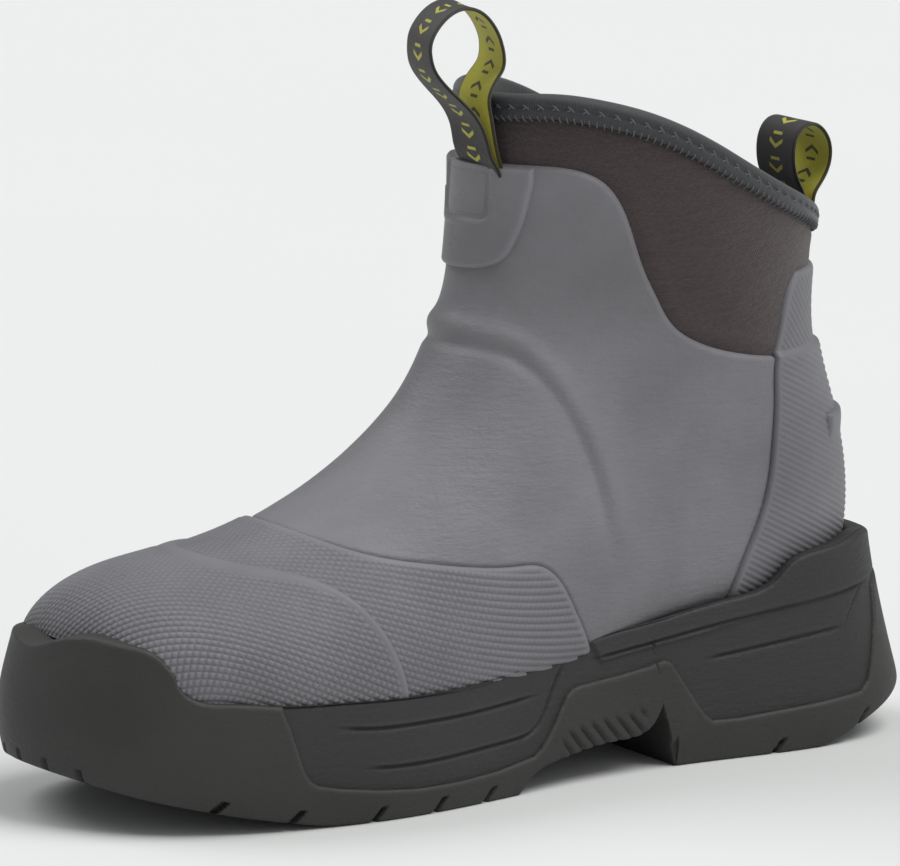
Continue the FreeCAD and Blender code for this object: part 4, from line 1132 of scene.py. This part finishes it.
def sole_rings():
    """Rings of the sole's skin from inside the lip, down the wall, to the middle of the underside."""
    yield ON_TOP, wall(top_z - LIP_FOOT_DOWN) + inward * (lip + LIP_FOOT_IN)[:, None]
    for share, drop in LIP:
        ring = wall(top_z) + inward * (lip * share)[:, None]
        ring[:, 2] = top_z + drop
        yield ON_TOP, ring
    for k in range(1, TOP_ROLL_ROWS + 1):
        a = math.pi / 2 * k / TOP_ROLL_ROWS
        yield ON_SIDE, wall(top_z - TOP_ROLL * (1 - math.cos(a))) + inward * (TOP_ROLL * (1 - math.sin(a)))
    side_top, side_low = top_z - TOP_ROLL, low_z + LOW_ROLL
    for k in range(1, SIDE_ROWS + 1):
        yield ON_SIDE, wall(side_top + (side_low - side_top) * k / SIDE_ROWS)
    for k in range(1, LOW_ROLL_ROWS + 1):
        a = math.pi / 2 * k / LOW_ROLL_ROWS
        edge = wall(low_z + LOW_ROLL * (1 - math.sin(a))) + inward * (LOW_ROLL * (1 - math.cos(a)))
        yield ON_SIDE, edge
    spine_x = np.clip(edge[:, 0], 44, 268)
    for k in range(1, BOTTOM_ROWS + 1):
        share = k / BOTTOM_ROWS
        x = edge[:, 0] + (spine_x - edge[:, 0]) * share
        yield ON_BOTTOM, np.stack([x, edge[:, 1] * (1 - share), underside(x)], 1)


def closed_ring(values):
    return np.concatenate([values, values[:1]])


ring_kinds, ring_points = zip(*sole_rings())
points = np.array([closed_ring(ring) for ring in ring_points])
kinds = np.repeat(np.array(ring_kinds)[:, None], COLUMNS + 1, 1)
outward = np.repeat(-closed_ring(inward)[None], len(points), 0)
x, z = points[..., 0], points[..., 2]
lift = z - closed_ring(low_z)[None]
run_s = space_run(points[20])
run_t = np.cumsum(np.linalg.norm(np.diff(points, axis=0), axis=2), 0)
run_t = np.concatenate([np.zeros((1, COLUMNS + 1)), run_t])
window_signed = np.where(within(x, z, WINDOW), 1, -1) * distance(x, z, WINDOW, closed=True)
window_signed = np.where((kinds == ON_SIDE) & (z > 0), window_signed, OUTSIDE)


def notches(x, y, lift):
    """How deep the tread's edge notches cut in, in millimetres."""
    depth = np.zeros(x.shape)
    for place in TREAD_FORE + TREAD_HEEL:
        off = np.abs(x - place + 0.75 * lift)
        depth = np.maximum(depth, 3.0 * (1 - smooth(off, 0.7, 1.25)) * (1 - smooth(lift, 4.0, 5.2)))
    for place in TOE_NOTCHES:
        off = np.abs(y - place)
        depth = np.maximum(depth, 2.4 * (1 - smooth(off, 0.6, 1.1)) * (1 - smooth(lift, 3.2, 4.4)) * (x > 286))
    return depth


def tread(x, y):
    """Height of the underside's grooves above the lugs."""
    depth = np.zeros(x.shape)
    for place in TREAD_FORE + TREAD_HEEL:
        half = np.interp(place, [0, 50, 130, 205, 268, 308], [30, 43, 43, 57, 49, 20])
        off = np.abs(x - place + 0.32 * (np.abs(y) - half))
        depth = np.maximum(depth, CHANNEL_DEPTH * (1 - smooth(off, 1.0, 1.9)) * smooth(np.abs(y), 11.5, 13.5))
    for place in TREAD_SIPES:
        near = 1 - smooth(np.abs(x - place), 0.4, 0.9)
        depth = np.maximum(depth, SIPE_DEPTH * near * smooth(np.abs(y), 14, 16) * (1 - smooth(np.abs(y), 40, 43)))
    for middle_x, middle_y in TREAD_INSERTS:
        off = np.hypot(x - middle_x, y - middle_y)
        depth = np.maximum(depth, INSERT_DEPTH * (1 - smooth(off, 9.2, 9.7)))
    return depth


def arch_fins(x, z, lift):
    """Slanting fins low on the waist."""
    zone = smooth(x, 108, 112) * (1 - smooth(x, 140, 146)) * (1 - smooth(lift, 5.5, 10))
    beat = (x - 0.9 * z) / 5.2
    return 1.5 * zone * (1 - np.clip(triangle_wave(beat) * 2.4, 0, 1))


def groove_share(x, z):
    """0 away from the midsole's grooves, 1 along their middles, fading at their ends."""
    share = np.zeros(x.shape)
    for line in GROOVES:
        dense = curve(line)
        from_ends = [np.hypot(x - end_x, z - end_z) for end_x, end_z in (dense[0], dense[-1])]
        ends = smooth(np.minimum(*from_ends), 0, 7)
        share = np.maximum(share, crest(distance(x, z, dense), 0, 0.62) * (0.25 + 0.75 * ends))
    return share


base_grid = {"p": points, "n": outward, "lu": run_t, "lv": np.repeat(run_s[None], len(points), 0),
             "k": kinds.astype(float), "lift": lift}


def outsole_shell():
    """The outsole's skin round the midsole's windows, with notches, fins and tread."""
    data, faces, rims = clip(base_grid, -window_signed)
    x, y, z = data["p"].T
    side = (data["k"] >= 0.99) & (data["k"] < 1.5)
    relief = round_edge(data["f"], 0.9) - 1
    relief = relief - notches(x, y, data["lift"]) - arch_fins(x, z, data["lift"])
    height = np.where(side, relief + 0.12 * lumps(data["p"], 26, 9), 0.0)
    verts = data["p"] + data["n"] * height[:, None]
    verts[:, 2] += np.where(data["k"] > 1.5, tread(x, y), 0)
    over_top = np.abs(z - np.interp(x, top_dense[:, 0], top_dense[:, 1]))
    # Painted highlights along the rounded rims of the windows and along the sole's top edge
    tone = np.where(side, np.maximum(0.5 * crest(data["f"], 0.7, 0.7), 0.4 * crest(over_top, 0, 1.2)), 0)
    verts, faces, uv = skirt(data, faces, rims, verts, 1.8)
    return make("outsole_shell", verts, faces, uv, np.concatenate([tone, np.zeros(len(verts) - len(tone))]))


def midsole_shell():
    """The midsole where it shows through the outsole's windows: a raised upper band, grooves, fine hatching."""
    data, faces, rims = clip(base_grid, window_signed + 1.2)
    x, z = xz(data)
    band = np.interp(x, [-20, 4, 26, 74, 90, 127, 140, 330], [53, 53, 50, 44, 41.2, 37, 60, 90])
    height = -1.25 + 0.95 * smooth(z, band - 0.3, band + 1.0) - GROOVE_DEPTH * groove_share(x, z)
    hatch = triangle_wave((x * 0.8 + z * 1.2) / 1.6)
    height = height - 0.12 * hatch * smooth(x, 200, 215) * smooth(z, 24, 27)
    height = height + 0.1 * lumps(data["p"], 24, 8)
    verts = data["p"] + data["n"] * height[:, None]
    verts, faces, uv = skirt(data, faces, rims, verts, 1.0)
    tone = np.zeros(len(verts))
    # Painted highlight on a band just above each groove and painted shade inside the grooves
    tone[:len(x)] = 0.55 * groove_share(x, z - 1.25) - 0.9 * groove_share(x, z)
    return make("midsole_shell", verts, faces, uv, tone)


place(outsole_shell(), "outsole", "outsole_rubber", mat_out)
place(midsole_shell(), "midsole", "midsole_foam", mat_mid)

# ---- CAD pieces kept as they are
HIDDEN = {
    "shank": plain("shank_nylon", (0.05, 0.05, 0.055), 0.5),
    "insole_board": plain("board_fibre", (0.45, 0.38, 0.28), 0.8, 300),
    "footbed_foam": plain("footbed_foam", (0.10, 0.11, 0.12), 0.8, 350, 0.0004),
    "footbed_cover": mat_lining,
    "heel_cushion": plain("heel_gel", (0.55, 0.56, 0.06), 0.35, 200),
    "lining": mat_lining,
    "toe_puff": plain("stiffener_sheet", (0.5, 0.48, 0.43), 0.6),
    "heel_counter": plain("counter_sheet", (0.5, 0.48, 0.43), 0.6),
    "front_loop_tails": mat_web_out,
    "rear_tail_outer": mat_web_out,
    "rear_tail_inner": mat_web_out,
    "rear_bartack": mat_thread,
}
for i in range(1, 5):
    HIDDEN[f"tread_insert_{i}"] = mat_insert
for node, mat in HIDDEN.items():
    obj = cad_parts[node]
    obj.data.materials.clear()
    obj.data.materials.append(mat)
    obj.data.polygons.foreach_set("use_smooth", np.ones(len(obj.data.polygons), bool))

# ---- stage, light and camera
FLOOR_HALF = 6.0
PAPER = (0.752, 0.767, 0.762), (0.757, 0.772, 0.767)
floor_mesh = bpy.data.meshes.new("studio_floor")
corners = [(sx * FLOOR_HALF, sy * FLOOR_HALF, 0) for sx, sy in ((-1, -1), (1, -1), (1, 1), (-1, 1))]
floor_mesh.from_pydata(corners, [], [(0, 1, 2, 3)])
floor = bpy.data.objects.new("studio_floor", floor_mesh)
bpy.context.scene.collection.objects.link(floor)
paper = Nodes("studio_paper")
paper_tone = paper.ramp(paper.noise(paper.coords(), 3, 2), [(0.3, PAPER[0]), (0.7, PAPER[1])])
floor_mesh.materials.append(paper.finish(paper_tone, 0.9, Specular_IOR_Level=0.0))

bpy.context.scene.view_settings.view_transform = "Standard"
world = bpy.data.worlds.new("studio")
bpy.context.scene.world = world
world.use_nodes = True
background = world.node_tree.nodes["Background"].inputs
background["Color"].default_value = (0.83, 0.855, 0.845, 1)
background["Strength"].default_value = 0.34


def sun(name, direction, strength, angle, colour):
    """Light from a direction (towards the light), softened over angle degrees."""
    light = bpy.data.lights.new(name, "SUN")
    light.energy = strength
    light.angle = math.radians(angle)
    light.color = colour
    obj = bpy.data.objects.new(name, light)
    bpy.context.scene.collection.objects.link(obj)
    obj.rotation_euler = Vector(direction).to_track_quat("Z", "Y").to_euler()


AZIMUTH, ELEVATION, DISTANCE = math.radians(148.5), math.radians(11.0), 2.4
level = math.cos(ELEVATION)
toward = Vector((math.sin(AZIMUTH) * level, -math.cos(AZIMUTH) * level, math.sin(ELEVATION)))
up = Vector((0, 0, 1))
left = up.cross(toward).normalized() * -1
target = Vector((0.098, 0, 0.090))
sun("key", up * 1.45 + toward * 0.25 - left * 0.70, 2.0, 40, (1.0, 0.99, 0.98))
sun("rim", up * 1.1 + left * 0.75 - toward * 0.35, 1.0, 40, (0.98, 0.99, 1.0))
sun("fill", up * 0.1 + toward * 0.7 - left * 1.0, 0.36, 60, (0.99, 0.99, 1.0))

cam_data = bpy.data.cameras.new("camera")
camera = bpy.data.objects.new("camera", cam_data)
bpy.context.scene.collection.objects.link(camera)
camera.location = target + toward * DISTANCE
camera.rotation_euler = (-toward).to_track_quat("-Z", "Y").to_euler()
cam_data.sensor_width = 36.0
cam_data.lens = 306.8
cam_data.shift_x = -0.0211
cam_data.shift_y = 0.0544
cam_data.clip_end = 30
bpy.context.scene.camera = camera
